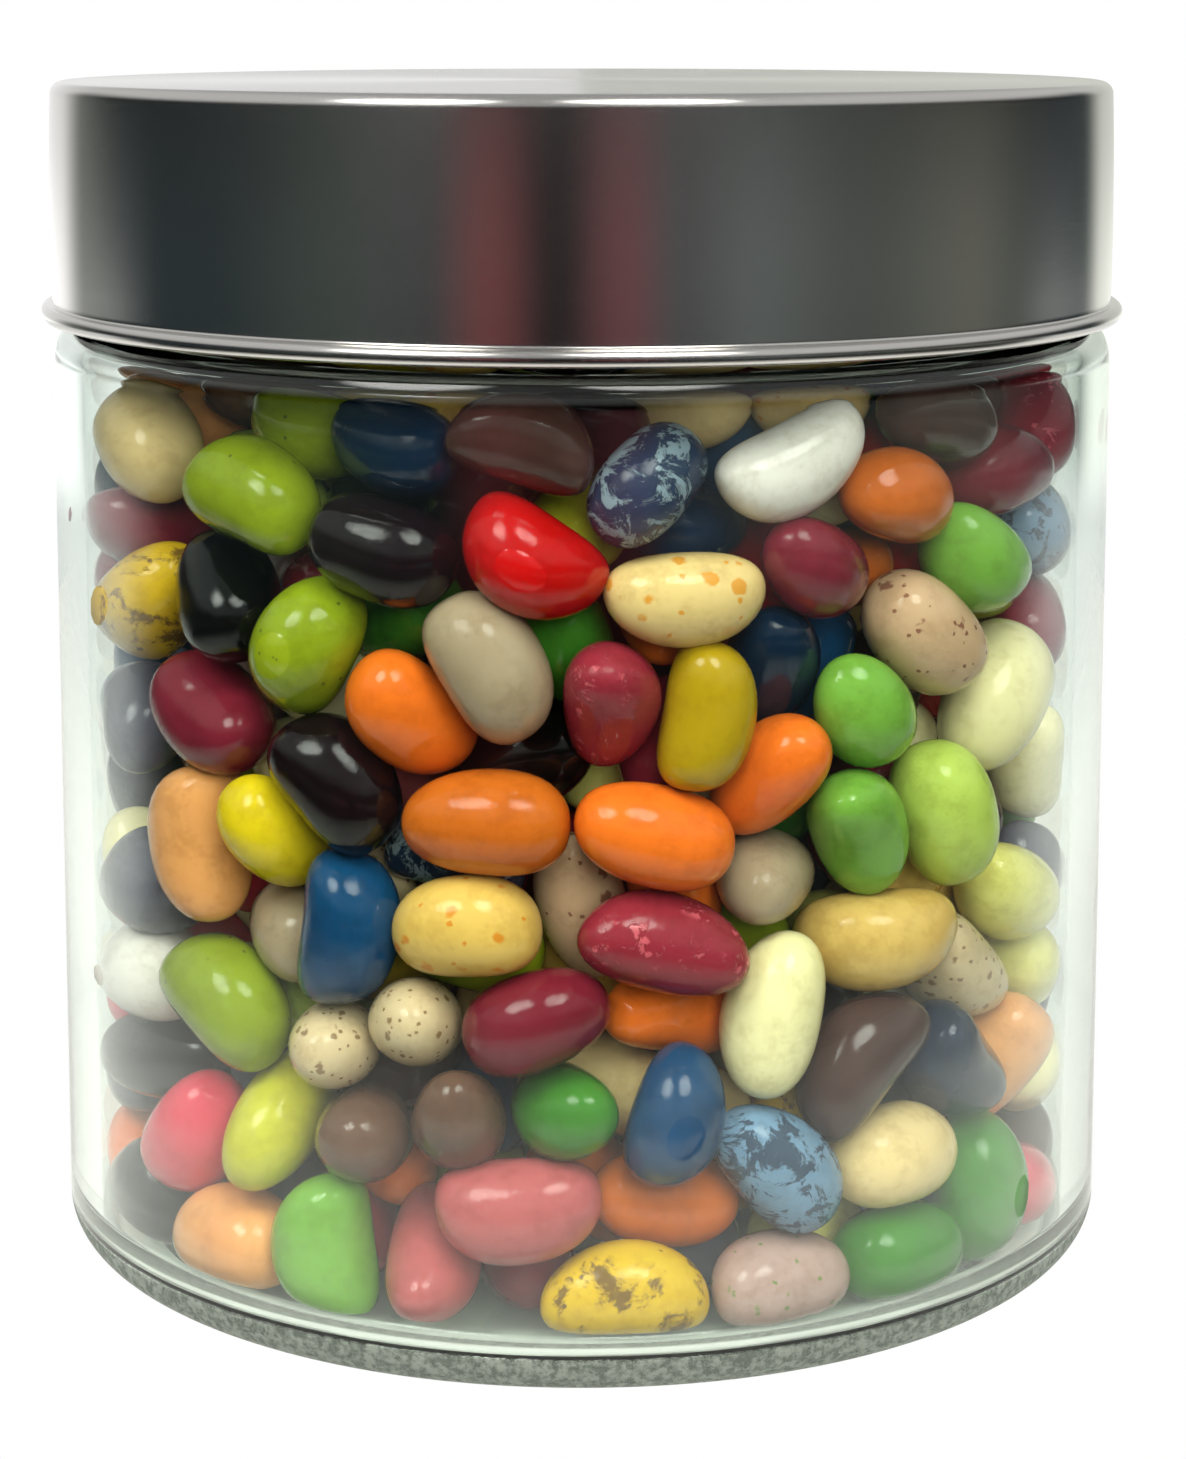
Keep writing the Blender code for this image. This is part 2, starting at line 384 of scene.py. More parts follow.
@dataclass(frozen=True)
class BeanFinish:
    """The colours and marks of one kind of bean.

    Attributes:
        colour: the shell's colour.
        mark: the colour of its marks.
        pattern: how it is marked.
        share: how often the loose beans are of this kind, against the other kinds.
        roughness: roughness of the clean shell.
        cloud_roughness: what the cloudy patches add to it.
        cloud_weight: how much of the deeper colour the cloudy patches show.
        tone_weight: how much of the deeper colour the deepest bean shows.
        deeper: red, green and blue of the deeper colour, as shares of the shell's own.
        faint_mark: strength of the marks on plain and clear shells.
        strong_mark: strength of the marks on the others.
        grain_depth: depth of the finest relief.
        relief_depth: depth of the shell's soft relief.
        mark_depth: depth of the marks that stand up.
        index: refractive index of the shell's gloss.
        clearness: how much light goes into a clear shell.
        scatter: how far red, green and blue go in it, against each other.
        scatter_depth: how far red goes in it.
    """

    colour: Colour
    mark: Colour
    pattern: Pattern = Pattern.PLAIN
    share: float = 1.0
    roughness: float = 0.11
    cloud_roughness: float = 0.06
    cloud_weight: float = 0.7
    tone_weight: float = 0.30
    deeper: tuple[float, float, float] = (0.75, 0.71, 0.66)
    faint_mark: float = 0.30
    strong_mark: float = 0.88
    grain_depth: float = 0.000006
    relief_depth: float = 0.00008
    mark_depth: float = 0.00005
    index: float = 1.46
    clearness: float = 0.5
    scatter: tuple[float, float, float] = (1.0, 0.85, 0.6)
    scatter_depth: float = 0.002

    def marks(self, sketch: NodeSketch) -> bpy.types.NodeSocket:
        """Builds the mask of the marks.

        Args:
            sketch: the material to build in.

        Returns:
            A socket that is 1 on a mark and 0 on the plain shell.
        """
        match self.pattern:
            case Pattern.DOTTED:
                return sketch.spots(scale=620.0, size=0.13, share=0.30, ragged=0.0003)
            case Pattern.TOASTED:
                large = sketch.spots(scale=330.0, size=0.25, share=0.50, ragged=0.0014)
                small = sketch.spots(scale=700.0, size=0.20, share=0.30, ragged=0.0006)
                return sketch.maths("MAXIMUM", large, small)
            case Pattern.MOTTLED:
                stains = sketch.noise(scale=170.0, detail=6.0, roughness=0.7, distortion=0.5)
                stained = sketch.step(stains, low=0.53, high=0.62)
                small = sketch.spots(scale=620.0, size=0.20, share=0.25, ragged=0.0005)
                return sketch.maths("MAXIMUM", stained, small)
            case Pattern.SPECKLED:
                large = sketch.spots(scale=560.0, size=0.25, share=0.65, ragged=0.0008)
                small = sketch.spots(scale=1100.0, size=0.24, share=0.40, ragged=0.0003)
                return sketch.maths("MAXIMUM", large, small)
            case Pattern.FLECKED:
                large = sketch.spots(scale=380.0, size=0.26, share=0.30, ragged=0.0016)
                small = sketch.spots(scale=820.0, size=0.20, share=0.35, ragged=0.0005)
                return sketch.maths("MAXIMUM", large, small)
            case Pattern.BLOTCHED:
                clouds = sketch.noise(scale=260.0, detail=9.0, roughness=0.74, distortion=0.7)
                return sketch.step(clouds, low=0.50, high=0.545)
            case Pattern.FLAKED:
                patch = sketch.step(sketch.noise(scale=130.0, detail=2.0), low=0.46, high=0.56)
                cracks = sketch.noise(scale=420.0, detail=8.0, roughness=0.75, distortion=1.2)
                cracked = sketch.step(cracks, low=0.56, high=0.60)
                small = sketch.spots(scale=760.0, size=0.30, share=0.50, ragged=0.0010)
                return sketch.maths("MULTIPLY", patch, sketch.maths("MAXIMUM", cracked, small))
        return sketch.step(sketch.noise(scale=90.0, detail=2.0), low=0.50, high=0.80)

    def material(self, name: str) -> bpy.types.Material:
        """Builds the polished sugar shell of this kind.

        Args:
            name: name of the material.

        Returns:
            The material.
        """
        sketch = NodeSketch.material(name)
        tone = sketch.add("Attribute")
        tone.attribute_name = "tone"
        base = linear(self.colour)
        deep = (*(channel * part for channel, part in zip(base, self.deeper)), 1.0)
        cloudy = sketch.step(sketch.noise(scale=300.0, detail=6.0, roughness=0.72), low=0.44, high=0.66)
        shaded = sketch.mix(sketch.maths("MULTIPLY", cloudy, self.cloud_weight), base, deep)
        own = sketch.mix(sketch.maths("MULTIPLY", tone.outputs["Fac"], self.tone_weight), shaded, deep)
        mask = self.marks(sketch)
        strength = self.faint_mark if self.pattern in (Pattern.PLAIN, Pattern.CLEAR) else self.strong_mark
        colour = sketch.mix(sketch.maths("MULTIPLY", mask, strength), own, linear(self.mark))
        grain = sketch.bump(sketch.noise(scale=1500.0, detail=3.0, roughness=0.6), self.grain_depth)
        relief = sketch.bump(sketch.noise(scale=360.0, detail=3.0, roughness=0.55), self.relief_depth, grain)
        if self.pattern in (Pattern.FLAKED, Pattern.BLOTCHED, Pattern.MOTTLED):
            relief = sketch.bump(mask, self.mark_depth, relief)
        gloss = sketch.maths("ADD", self.roughness, sketch.maths("MULTIPLY", cloudy, self.cloud_roughness))
        shell = sketch.add("BsdfPrincipled", Base_Color=colour, Normal=relief, Roughness=gloss)
        shell.inputs["IOR"].default_value = self.index
        if self.pattern is Pattern.CLEAR:
            shell.inputs["Subsurface Weight"].default_value = self.clearness
            shell.inputs["Subsurface Radius"].default_value = self.scatter
            shell.inputs["Subsurface Scale"].default_value = self.scatter_depth
        return sketch.finish(shell.outputs[0])


FINISHES: dict[Kind, BeanFinish] = {
    Kind.BLACK: BeanFinish((10, 11, 11), (64, 60, 62), share=1.5),
    Kind.PLUM: BeanFinish((20, 9, 13), (78, 50, 56), share=1.2),
    Kind.WHITE: BeanFinish((230, 226, 218), (206, 204, 190), share=0.9),
    Kind.RED: BeanFinish((188, 16, 14), (180, 12, 16), share=0.9),
    Kind.WINE: BeanFinish((122, 34, 50), (92, 20, 32), share=1.6),
    Kind.MAROON: BeanFinish((146, 44, 58), (202, 92, 104), Pattern.FLAKED, share=1.2),
    Kind.CORAL: BeanFinish((216, 62, 84), (200, 58, 66), share=1.0),
    Kind.SALMON: BeanFinish((182, 90, 92), (200, 82, 82), share=1.0),
    Kind.ORANGE: BeanFinish((242, 118, 34), (222, 86, 20), share=1.3),
    Kind.AMBER: BeanFinish((203, 104, 30), (180, 84, 24), share=1.2),
    Kind.PEACH: BeanFinish((230, 162, 96), (208, 120, 64), share=1.1),
    Kind.APRICOT: BeanFinish((212, 178, 100), (216, 156, 66), share=0.9),
    Kind.MUSTARD: BeanFinish((216, 178, 28), (98, 70, 34), Pattern.MOTTLED, share=0.9),
    Kind.YELLOW: BeanFinish((226, 200, 26), (196, 162, 14), share=1.1),
    Kind.SUNNY: BeanFinish((232, 194, 100), (214, 132, 30), Pattern.TOASTED, share=0.9),
    Kind.BUTTER: BeanFinish((226, 198, 132), (212, 142, 34), Pattern.TOASTED, share=0.9),
    Kind.CREAM: BeanFinish((241, 234, 180), (224, 212, 140), share=1.2),
    Kind.CARAMEL: BeanFinish((232, 206, 146), (216, 184, 112), share=0.8),
    Kind.SAND: BeanFinish((213, 192, 152), (132, 102, 66), Pattern.SPECKLED, share=1.2),
    Kind.LIME: BeanFinish((137, 157, 28), (84, 96, 34), Pattern.DOTTED, share=1.3),
    Kind.LEMON_LIME: BeanFinish((196, 194, 48), (178, 170, 36), share=0.9),
    Kind.PALE_LIME: BeanFinish((226, 223, 124), (184, 186, 86), share=0.8),
    Kind.MELON: BeanFinish((186, 210, 95), (150, 180, 62), share=0.8),
    Kind.GREEN: BeanFinish((119, 174, 66), (82, 148, 40), share=1.2),
    Kind.LEAF: BeanFinish((62, 130, 38), (44, 108, 30), share=0.9),
    Kind.OLIVE: BeanFinish((178, 149, 19), (160, 128, 14), share=0.6),
    Kind.BLUE: BeanFinish((19, 68, 108), (16, 52, 90), share=1.0),
    Kind.NAVY: BeanFinish((12, 36, 60), (26, 56, 92), share=1.0),
    Kind.MARBLED: BeanFinish((34, 53, 80), (138, 160, 172), Pattern.BLOTCHED, share=0.7),
    Kind.STORMY: BeanFinish((110, 144, 174), (40, 54, 74), Pattern.BLOTCHED, share=0.6),
    Kind.SLATE: BeanFinish((82, 82, 97), (52, 50, 60), share=0.9),
    Kind.BROWN: BeanFinish((103, 75, 60), (80, 56, 44), share=1.1),
    Kind.COCOA: BeanFinish((68, 46, 42), (100, 78, 74), share=0.8),
    Kind.CHAMPAGNE: BeanFinish((170, 153, 126), (200, 190, 164), Pattern.CLEAR, share=0.8),
    Kind.ROSE: BeanFinish((178, 149, 141), (112, 132, 72), Pattern.FLECKED, share=0.5),
    Kind.FRUITY: BeanFinish((208, 174, 138), (128, 80, 62), Pattern.FLECKED, share=0.5),
}


@dataclass(frozen=True)
class PhotoView:
    """The photograph's view: a camera in front of the jar that looks slightly down."""

    width: int = 1186
    height: int = 1459
    distance: float = 0.3851
    rise: float = 0.1412
    pitch: float = 7.94
    lens_px: float = 3365.0
    centre_x: float = 581.5
    shift_up: float = -0.18

    def axes(self) -> tuple[np.ndarray, np.ndarray, np.ndarray]:
        """Works out the camera's directions.

        Returns:
            The unit vectors to its right, upwards and forwards.
        """
        tilt = math.radians(self.pitch)
        forward = np.array([0.0, math.cos(tilt), -math.sin(tilt)])
        upward = np.array([0.0, math.sin(tilt), math.cos(tilt)])
        return np.array([1.0, 0.0, 0.0]), upward, forward

    def sight_line(self, x: float, y: float) -> tuple[np.ndarray, np.ndarray]:
        """Gives the line of sight through a pixel.

        Args:
            x: column in the photograph.
            y: row in the photograph.

        Returns:
            The camera's place and the direction of the line.
        """
        right, upward, forward = self.axes()
        centre_y = self.height / 2 + self.shift_up * self.height
        way = forward + right * (x - self.centre_x) / self.lens_px + upward * (centre_y - y) / self.lens_px
        return np.array([0.0, -self.distance, self.rise]), way / np.linalg.norm(way)

    def reach(self, x: float, y: float, radius: float) -> np.ndarray:
        """Finds where a line of sight first meets a cylinder round the jar's axis.

        Args:
            x: column in the photograph.
            y: row in the photograph.
            radius: the cylinder's radius.

        Returns:
            The point on the cylinder, or the line's nearest point to the axis if it misses.
        """
        eye, way = self.sight_line(x, y)
        a = way[0] ** 2 + way[1] ** 2
        b = eye[0] * way[0] + eye[1] * way[1]
        c = eye[0] ** 2 + eye[1] ** 2 - radius ** 2
        root = math.sqrt(max(0.0, b * b - a * c))
        return eye + way * (-b - root) / a

    def build(self) -> bpy.types.Object:
        """Makes the camera and makes it the scene's own.

        Returns:
            The camera.
        """
        data = bpy.data.cameras.new("photo_camera")
        data.sensor_width = 36.0
        data.lens = self.lens_px * data.sensor_width / self.height
        data.shift_x = (self.width / 2 - self.centre_x) / self.height
        data.shift_y = self.shift_up
        data.clip_start = 0.01
        camera = bpy.data.objects.new("photo_camera", data)
        camera.location = (0.0, -self.distance, self.rise)
        camera.rotation_euler = (math.radians(90.0 - self.pitch), 0.0, 0.0)
        bpy.context.scene.collection.objects.link(camera)
        bpy.context.scene.camera = camera
        return camera


@dataclass(frozen=True)
class GlassFinish:
    """Clear polished soda-lime glass, faintly grey-green in its thickness."""

    tint: Colour = (247, 250, 248)
    index: float = 1.5
    ring_top: Span = (0.0047, 0.0041)
    ring_edge: Span = (0.0558, 0.0566)
    stipples: float = 950.0
    stipple_depth: float = 0.00025
    frosting: float = 0.70
    frost_patches: Span = (0.40, 0.62)
    frost_dark: Colour = (96, 104, 96)
    frost_light: Colour = (138, 146, 137)

    def material(self) -> bpy.types.Material:
        """Builds the glass, which lets lamps through to what it holds.

        Returns:
            The material.
        """
        sketch = NodeSketch.material("clear_glass")
        axes = sketch.add("SeparateXYZ", Vector=sketch.place)
        squared = sketch.maths("MULTIPLY", axes.outputs["X"], axes.outputs["X"])
        reach = sketch.maths("SQRT", sketch.maths(
            "MULTIPLY_ADD", axes.outputs["Y"], axes.outputs["Y"], squared))
        ring = sketch.maths("MULTIPLY", sketch.step(axes.outputs["Z"], *self.ring_top),
                            sketch.step(reach, *self.ring_edge))
        stipple = sketch.noise(self.stipples, detail=4.0, roughness=0.7)
        normal = sketch.bump(sketch.maths("MULTIPLY", stipple, ring), self.stipple_depth)
        clear = sketch.add("BsdfGlass", Color=linear(self.tint), Normal=normal)
        clear.inputs["Roughness"].default_value = 0.0
        clear.inputs["IOR"].default_value = self.index
        frost = sketch.add("BsdfDiffuse", Normal=normal, Color=sketch.mix(
            sketch.step(stipple, *self.frost_patches), linear(self.frost_dark), linear(self.frost_light)))
        glass = sketch.blend(sketch.maths("MULTIPLY", ring, self.frosting), clear.outputs[0],
                             frost.outputs[0])
        open_way = sketch.add("BsdfTransparent", Color=linear(self.tint))
        shadow = sketch.add("LightPath").outputs["Is Shadow Ray"]
        return sketch.finish(sketch.blend(shadow, glass, open_way.outputs[0]))


@dataclass(frozen=True)
class SteelFinish:
    """Steel brushed round its axis, which smears reflections up and down."""

    colour: Colour = (196, 194, 190)
    dull_colour: Colour = (176, 174, 170)
    dulling: float = 0.25
    roughness: float = 0.19
    unevenness: float = 0.08
    smear: float = 0.8
    scratches: float = 9000.0
    scratch_length: float = 0.004
    scratch_depth: float = 0.000002

    def material(self) -> bpy.types.Material:
        """Builds the brushed steel.

        Returns:
            The material.
        """
        sketch = NodeSketch.material("brushed_steel")
        axes = sketch.add("SeparateXYZ", Vector=sketch.place)
        across = sketch.maths("ARCTAN2", axes.outputs["Y"], axes.outputs["X"])
        flat = sketch.maths("SQRT", sketch.maths(
            "ADD", sketch.maths("MULTIPLY", axes.outputs["X"], axes.outputs["X"]),
            sketch.maths("MULTIPLY", axes.outputs["Y"], axes.outputs["Y"])))
        round_way = sketch.maths("MULTIPLY", across, self.scratch_length)
        lines = sketch.add("CombineXYZ", X=round_way, Y=flat, Z=axes.outputs["Z"])
        streak = sketch.noise(self.scratches, detail=3.0, roughness=0.6, place=lines.outputs[0])
        spread = sketch.maths("MULTIPLY", streak, self.unevenness)
        rough = sketch.maths("ADD", self.roughness - self.unevenness / 2, spread)
        cloud = sketch.maths("MULTIPLY", sketch.noise(scale=40.0, detail=2.0), self.dulling)
        shade = sketch.mix(cloud, linear(self.colour), linear(self.dull_colour))
        steel = sketch.add("BsdfPrincipled", Base_Color=shade, Roughness=rough,
                           Normal=sketch.bump(streak, self.scratch_depth))
        steel.inputs["Metallic"].default_value = 1.0
        steel.inputs["Anisotropic"].default_value = self.smear
        steel.inputs["Anisotropic Rotation"].default_value = 0.25
        tangent = sketch.add("Tangent")
        tangent.direction_type = "RADIAL"
        tangent.axis = "Z"
        sketch.feed(steel.inputs["Tangent"], tangent.outputs[0])
        return sketch.finish(steel.outputs[0])


@dataclass
class GlassJar:
    """The turned glass: thick foot, straight wall, rolled shoulder and a neck inside the cap."""

    node: str = "glass_jar"
    wall: float = 0.0032
    floor: float = 0.0031
    heel: float = 0.0045
    inner_heel: float = 0.0040
    ring_width: float = 0.0045
    underside_rise: float = 0.0008
    shoulder_start: float = 0.1010
    shoulder: float = 0.0055
    shoulder_turn: float = 60.0
    neck_fillet: float = 0.0015
    rim: float = 0.0012
    sides: int = 256
    crease: float = 35.0
    finish: GlassFinish = field(default_factory=GlassFinish)

    def __post_init__(self) -> None:
        """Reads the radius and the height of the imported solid."""
        low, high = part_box(self.node)
        self.radius = (high[0] - low[0]) / 2
        self.height = high[2]
        self.inside = self.radius - self.wall

    def shoulder_side(self, wall_radius: float, bend: float, fillet: float) -> Profile:
        """Draws one side of the shoulder, from the wall up to the neck.

        Args:
            wall_radius: radius of that side of the wall.
            bend: radius of the shoulder on that side.
            fillet: radius of the curve between the shoulder and the neck on that side.

        Returns:
            The points, going up.
        """
        centre = (self.radius - self.shoulder, self.shoulder_start)
        points = [(wall_radius, self.shoulder_start)]
        points += arc(centre, bend, 0.0, self.shoulder_turn, 14)[1:]
        turn = math.radians(self.shoulder_turn)
        fillet_centre = (points[-1][0] + fillet * math.cos(turn), points[-1][1] + fillet * math.sin(turn))
        return points + arc(fillet_centre, fillet, 180.0 + self.shoulder_turn, 180.0, 10)[1:]

    def profile(self) -> Profile:
        """Draws the profile.

        Returns:
            The points, up the inside, over the rim, down the outside and in along the underside.
        """
        inner = self.shoulder_side(self.inside, self.shoulder - self.wall, self.neck_fillet + self.wall)
        outer = self.shoulder_side(self.radius, self.shoulder, self.neck_fillet)
        inner_neck, outer_neck = inner[-1][0], outer[-1][0]
        rim_centre = self.height - self.rim
        ring = self.radius - self.heel
        inner_heel = (self.inside - self.inner_heel, self.floor + self.inner_heel)
        points = [(0.0, self.floor)]
        points += arc(inner_heel, self.inner_heel, -90.0, 0.0, 12)
        points += inner
        points += arc((inner_neck + self.rim, rim_centre), self.rim, 180.0, 90.0, 6)
        points += arc((outer_neck - self.rim, rim_centre), self.rim, 90.0, 0.0, 6)
        points += reversed(outer)
        points += arc((ring, self.heel), self.heel, 0.0, -90.0, 14)
        points += [(ring - self.ring_width, 0.0)]
        points += [(ring - self.ring_width - self.underside_rise, self.underside_rise)]
        return points + [(0.0, self.underside_rise)]

    def build(self) -> bpy.types.Object:
        """Turns the glass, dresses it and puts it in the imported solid's place.

        Returns:
            The glass.
        """
        piece = turned("jar_glass", self.profile(), self.sides, self.crease)
        piece.data.materials.append(self.finish.material())
        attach(piece, "root")
        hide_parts(self.node)
        return piece


@dataclass
class SteelCap:
    """The drawn cap: flat top, rounded corner, straight skirt and a rolled bead at its foot."""

    node: str = "lid"
    sheet: float = 0.0006
    corner: float = 0.0014
    bead_height: float = 0.0019
    skirt_radius: float = 0.0600
    top_radius: float = 0.0598
    bulge: float = 0.00015
    skirt_steps: int = 12
    sides: int = 256
    crease: float = 40.0
    finish: SteelFinish = field(default_factory=SteelFinish)

    def __post_init__(self) -> None:
        """Reads the heights and the bead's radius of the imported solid."""
        low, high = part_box(self.node)
        self.bottom, self.top = low[2], high[2]
        self.bead_radius = (high[0] - low[0]) / 2

    def profile(self) -> Profile:
        """Draws the profile.

        Returns:
            The points, out along the top, down the skirt, round the bead and up inside.
        """
        roll = self.bead_height / 2
        bead = self.bottom + roll
        corner = (self.top_radius - self.corner, self.top - self.corner)
        points = [(0.0, self.top), (corner[0] * 0.5, self.top), (corner[0] * 0.9, self.top)]
        points += arc(corner, self.corner, 90.0, 0.0, 14)
        foot = self.bottom + self.bead_height + self.sheet
        for step in range(self.skirt_steps):
            down = (step + 1) / self.skirt_steps
            radius = self.top_radius + (self.skirt_radius - self.top_radius) * down
            swell = self.bulge * 4.0 * down * (1.0 - down)
            points += [(radius + swell, corner[1] + (foot - corner[1]) * down)]
        fold = (self.skirt_radius + self.sheet / 2, bead + roll + self.sheet / 2)
        points += arc(fold, self.sheet / 2, 180.0, 270.0, 5)
        points += arc((self.bead_radius - roll, bead), roll, 90.0, -90.0, 14)
        points += [(self.skirt_radius - self.sheet, self.bottom)]
        points += [(self.top_radius - self.sheet, self.top - self.corner)]
        points += arc(corner, self.corner - self.sheet, 0.0, 90.0, 6)[1:]
        return points + [(0.0, self.top - self.sheet)]

    def build(self) -> bpy.types.Object:
        """Turns the cap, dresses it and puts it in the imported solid's place.

        Returns:
            The cap.
        """
        piece = turned("steel_cap", self.profile(), self.sides, self.crease)
        piece.data.materials.append(self.finish.material())
        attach(piece, "root")
        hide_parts(self.node)
        return piece


@dataclass(frozen=True)
class Seen:
    """A bean as the photograph shows it: its middle, its length and width, and its turn.

    x, y, long and wide are pixels of the photograph, turn is in degrees counter-clockwise from
    level, and depth is how many beans lie between it and the glass.
    """

    kind: Kind
    x: float
    y: float
    long: float = 150.0
    wide: float = 100.0
    turn: float = 0.0
    depth: float = 0.0


SEEN_AT_TOP = (
    Seen(Kind.CARAMEL, x=149, y=454, long=112, wide=98, turn=-45),
    Seen(Kind.LIME, x=259, y=489, long=142, wide=108, turn=-28),
    Seen(Kind.LIME, x=316, y=437, long=140, wide=98, turn=-10, depth=1),
    Seen(Kind.NAVY, x=407, y=456, long=140, wide=98, turn=-40, depth=0.8),
    Seen(Kind.COCOA, x=518, y=456, long=150, wide=98, turn=-25, depth=0.7),
    Seen(Kind.PLUM, x=390, y=540, long=145, wide=112, turn=-22),
    Seen(Kind.RED, x=536, y=562, long=145, wide=105, turn=-35),
    Seen(Kind.WINE, x=155, y=525, long=120, wide=95, turn=0, depth=1),
    Seen(Kind.MUSTARD, x=159, y=592, long=120, wide=95, turn=55),
    Seen(Kind.BLACK, x=237, y=598, long=130, wide=100, turn=-70),
    Seen(Kind.NAVY, x=105, y=494, long=120, wide=90, turn=90, depth=0.4),
    Seen(Kind.WINE, x=104, y=556, long=110, wide=90, turn=80, depth=0.6),
    Seen(Kind.MARBLED, x=648, y=484, long=130, wide=95, turn=18),
    Seen(Kind.WHITE, x=788, y=469, long=165, wide=98, turn=22),
    Seen(Kind.AMBER, x=885, y=498, long=112, wide=95, turn=40),
    Seen(Kind.COCOA, x=927, y=424, long=125, wide=90, turn=5, depth=0.5),
    Seen(Kind.WINE, x=985, y=471, long=125, wide=92, turn=15, depth=0.5),
    Seen(Kind.MAROON, x=1038, y=427, long=120, wide=92, turn=78),
    Seen(Kind.STORMY, x=1031, y=517, long=110, wide=92, turn=60, depth=0.3),
    Seen(Kind.GREEN, x=966, y=556, long=128, wide=98, turn=-30),
    Seen(Kind.WINE, x=805, y=563, long=112, wide=95, turn=-10, depth=0.3),
    Seen(Kind.NAVY, x=686, y=533, long=120, wide=95, turn=30, depth=1),
    Seen(Kind.BLACK, x=480, y=500, long=140, wide=98, turn=60, depth=1.6),
    Seen(Kind.BLACK, x=590, y=430, long=140, wide=98, turn=-20, depth=1.6),
)

SEEN_ABOVE_MIDDLE = (
    Seen(Kind.LIME, x=330, y=649, long=125, wide=108, turn=60),
    Seen(Kind.CHAMPAGNE, x=491, y=666, long=160, wide=115, turn=-62),
    Seen(Kind.ORANGE, x=416, y=714, long=150, wide=105, turn=-38, depth=0.4),
    Seen(Kind.SLATE, x=140, y=710, long=120, wide=92, turn=-50),
    Seen(Kind.WINE, x=224, y=713, long=145, wide=108, turn=-35),
    Seen(Kind.MAROON, x=608, y=704, long=135, wide=98, turn=-60, depth=0.3),
    Seen(Kind.BUTTER, x=683, y=603, long=165, wide=98, turn=0),
    Seen(Kind.FRUITY, x=916, y=636, long=150, wide=108, turn=-48),
    Seen(Kind.CREAM, x=990, y=692, long=160, wide=100, turn=58),
    Seen(Kind.NAVY, x=770, y=667, long=130, wide=98, turn=-60, depth=0.9),
    Seen(Kind.OLIVE, x=697, y=721, long=145, wide=94, turn=88),
    Seen(Kind.GREEN, x=856, y=712, long=125, wide=100, turn=85),
    Seen(Kind.LEAF, x=415, y=620, long=130, wide=95, turn=40, depth=1),
    Seen(Kind.LEAF, x=560, y=640, long=130, wide=95, turn=-70, depth=1.4),
    Seen(Kind.PLUM, x=347, y=777, long=150, wide=105, turn=-42),
    Seen(Kind.BLACK, x=527, y=768, long=140, wide=98, turn=20, depth=1),
    Seen(Kind.SLATE, x=128, y=799, long=115, wide=90, turn=-60, depth=0.5),
    Seen(Kind.PEACH, x=216, y=843, long=160, wide=98, turn=82),
    Seen(Kind.YELLOW, x=291, y=833, long=125, wide=92, turn=-75, depth=0.4),
    Seen(Kind.AMBER, x=483, y=846, long=168, wide=110, turn=-15),
    Seen(Kind.ORANGE, x=658, y=826, long=162, wide=108, turn=-18),
    Seen(Kind.ORANGE, x=769, y=780, long=128, wide=95, turn=68),
    Seen(Kind.GREEN, x=843, y=830, long=132, wide=98, turn=85),
    Seen(Kind.MELON, x=932, y=814, long=150, wide=100, turn=-80),
    Seen(Kind.GREEN, x=1013, y=790, long=145, wide=85, turn=68, depth=0.3),
    Seen(Kind.CREAM, x=1048, y=765, long=120, wide=85, turn=80, depth=0.8),
    Seen(Kind.WINE, x=1035, y=620, long=120, wide=90, turn=70, depth=0.8),
    Seen(Kind.CHAMPAGNE, x=752, y=877, long=120, wide=95, turn=35, depth=0.8),
)

SEEN_BELOW_MIDDLE = (
    Seen(Kind.BLUE, x=357, y=931, long=160, wide=100, turn=86),
    Seen(Kind.SUNNY, x=477, y=938, long=150, wide=105, turn=-30),
    Seen(Kind.SLATE, x=164, y=903, long=100, wide=90, turn=-20, depth=0.4),
    Seen(Kind.CHAMPAGNE, x=285, y=928, long=120, wide=95, turn=-60, depth=0.9),
    Seen(Kind.CREAM, x=113, y=857, long=110, wide=90, turn=60, depth=0.3),
    Seen(Kind.CORAL, x=106, y=965, long=120, wide=88, turn=88, depth=0.4),
    Seen(Kind.WHITE, x=160, y=985, long=140, wide=98, turn=-52),
    Seen(Kind.LIME, x=249, y=988, long=158, wide=112, turn=-42),
    Seen(Kind.SAND, x=342, y=1048, long=100, wide=90, turn=-80),
    Seen(Kind.SAND, x=427, y=1020, long=110, wide=94, turn=60),
    Seen(Kind.WINE, x=542, y=1030, long=155, wide=108, turn=18),
    Seen(Kind.MAROON, x=657, y=940, long=175, wide=112, turn=-3),
    Seen(Kind.BLACK, x=165, y=1060, long=140, wide=105, turn=-10),
    Seen(Kind.WINE, x=247, y=1072, long=120, wide=95, turn=40, depth=1.6),
    Seen(Kind.LEMON_LIME, x=283, y=1128, long=165, wide=96, turn=80),
    Seen(Kind.APRICOT, x=876, y=927, long=160, wide=108, turn=12),
    Seen(Kind.PALE_LIME, x=1006, y=896, long=115, wide=98, turn=30),
    Seen(Kind.PALE_LIME, x=1025, y=968, long=110, wide=92, turn=35),
    Seen(Kind.SAND, x=946, y=972, long=110, wide=92, turn=-30, depth=0.5),
    Seen(Kind.CREAM, x=765, y=1016, long=168, wide=100, turn=-86),
    Seen(Kind.ORANGE, x=670, y=1020, long=120, wide=92, turn=10, depth=0.9),
    Seen(Kind.COCOA, x=858, y=1062, long=170, wide=92, turn=62),
    Seen(Kind.NAVY, x=928, y=1062, long=115, wide=98, turn=-20, depth=0.3),
    Seen(Kind.PEACH, x=990, y=1074, long=145, wide=98, turn=50),
    Seen(Kind.CREAM, x=1053, y=1078, long=115, wide=98, turn=20),
    Seen(Kind.SLATE, x=1055, y=865, long=120, wide=85, turn=80, depth=0.8),
    Seen(Kind.SLATE, x=1070, y=985, long=120, wide=85, turn=85, depth=0.6),
)

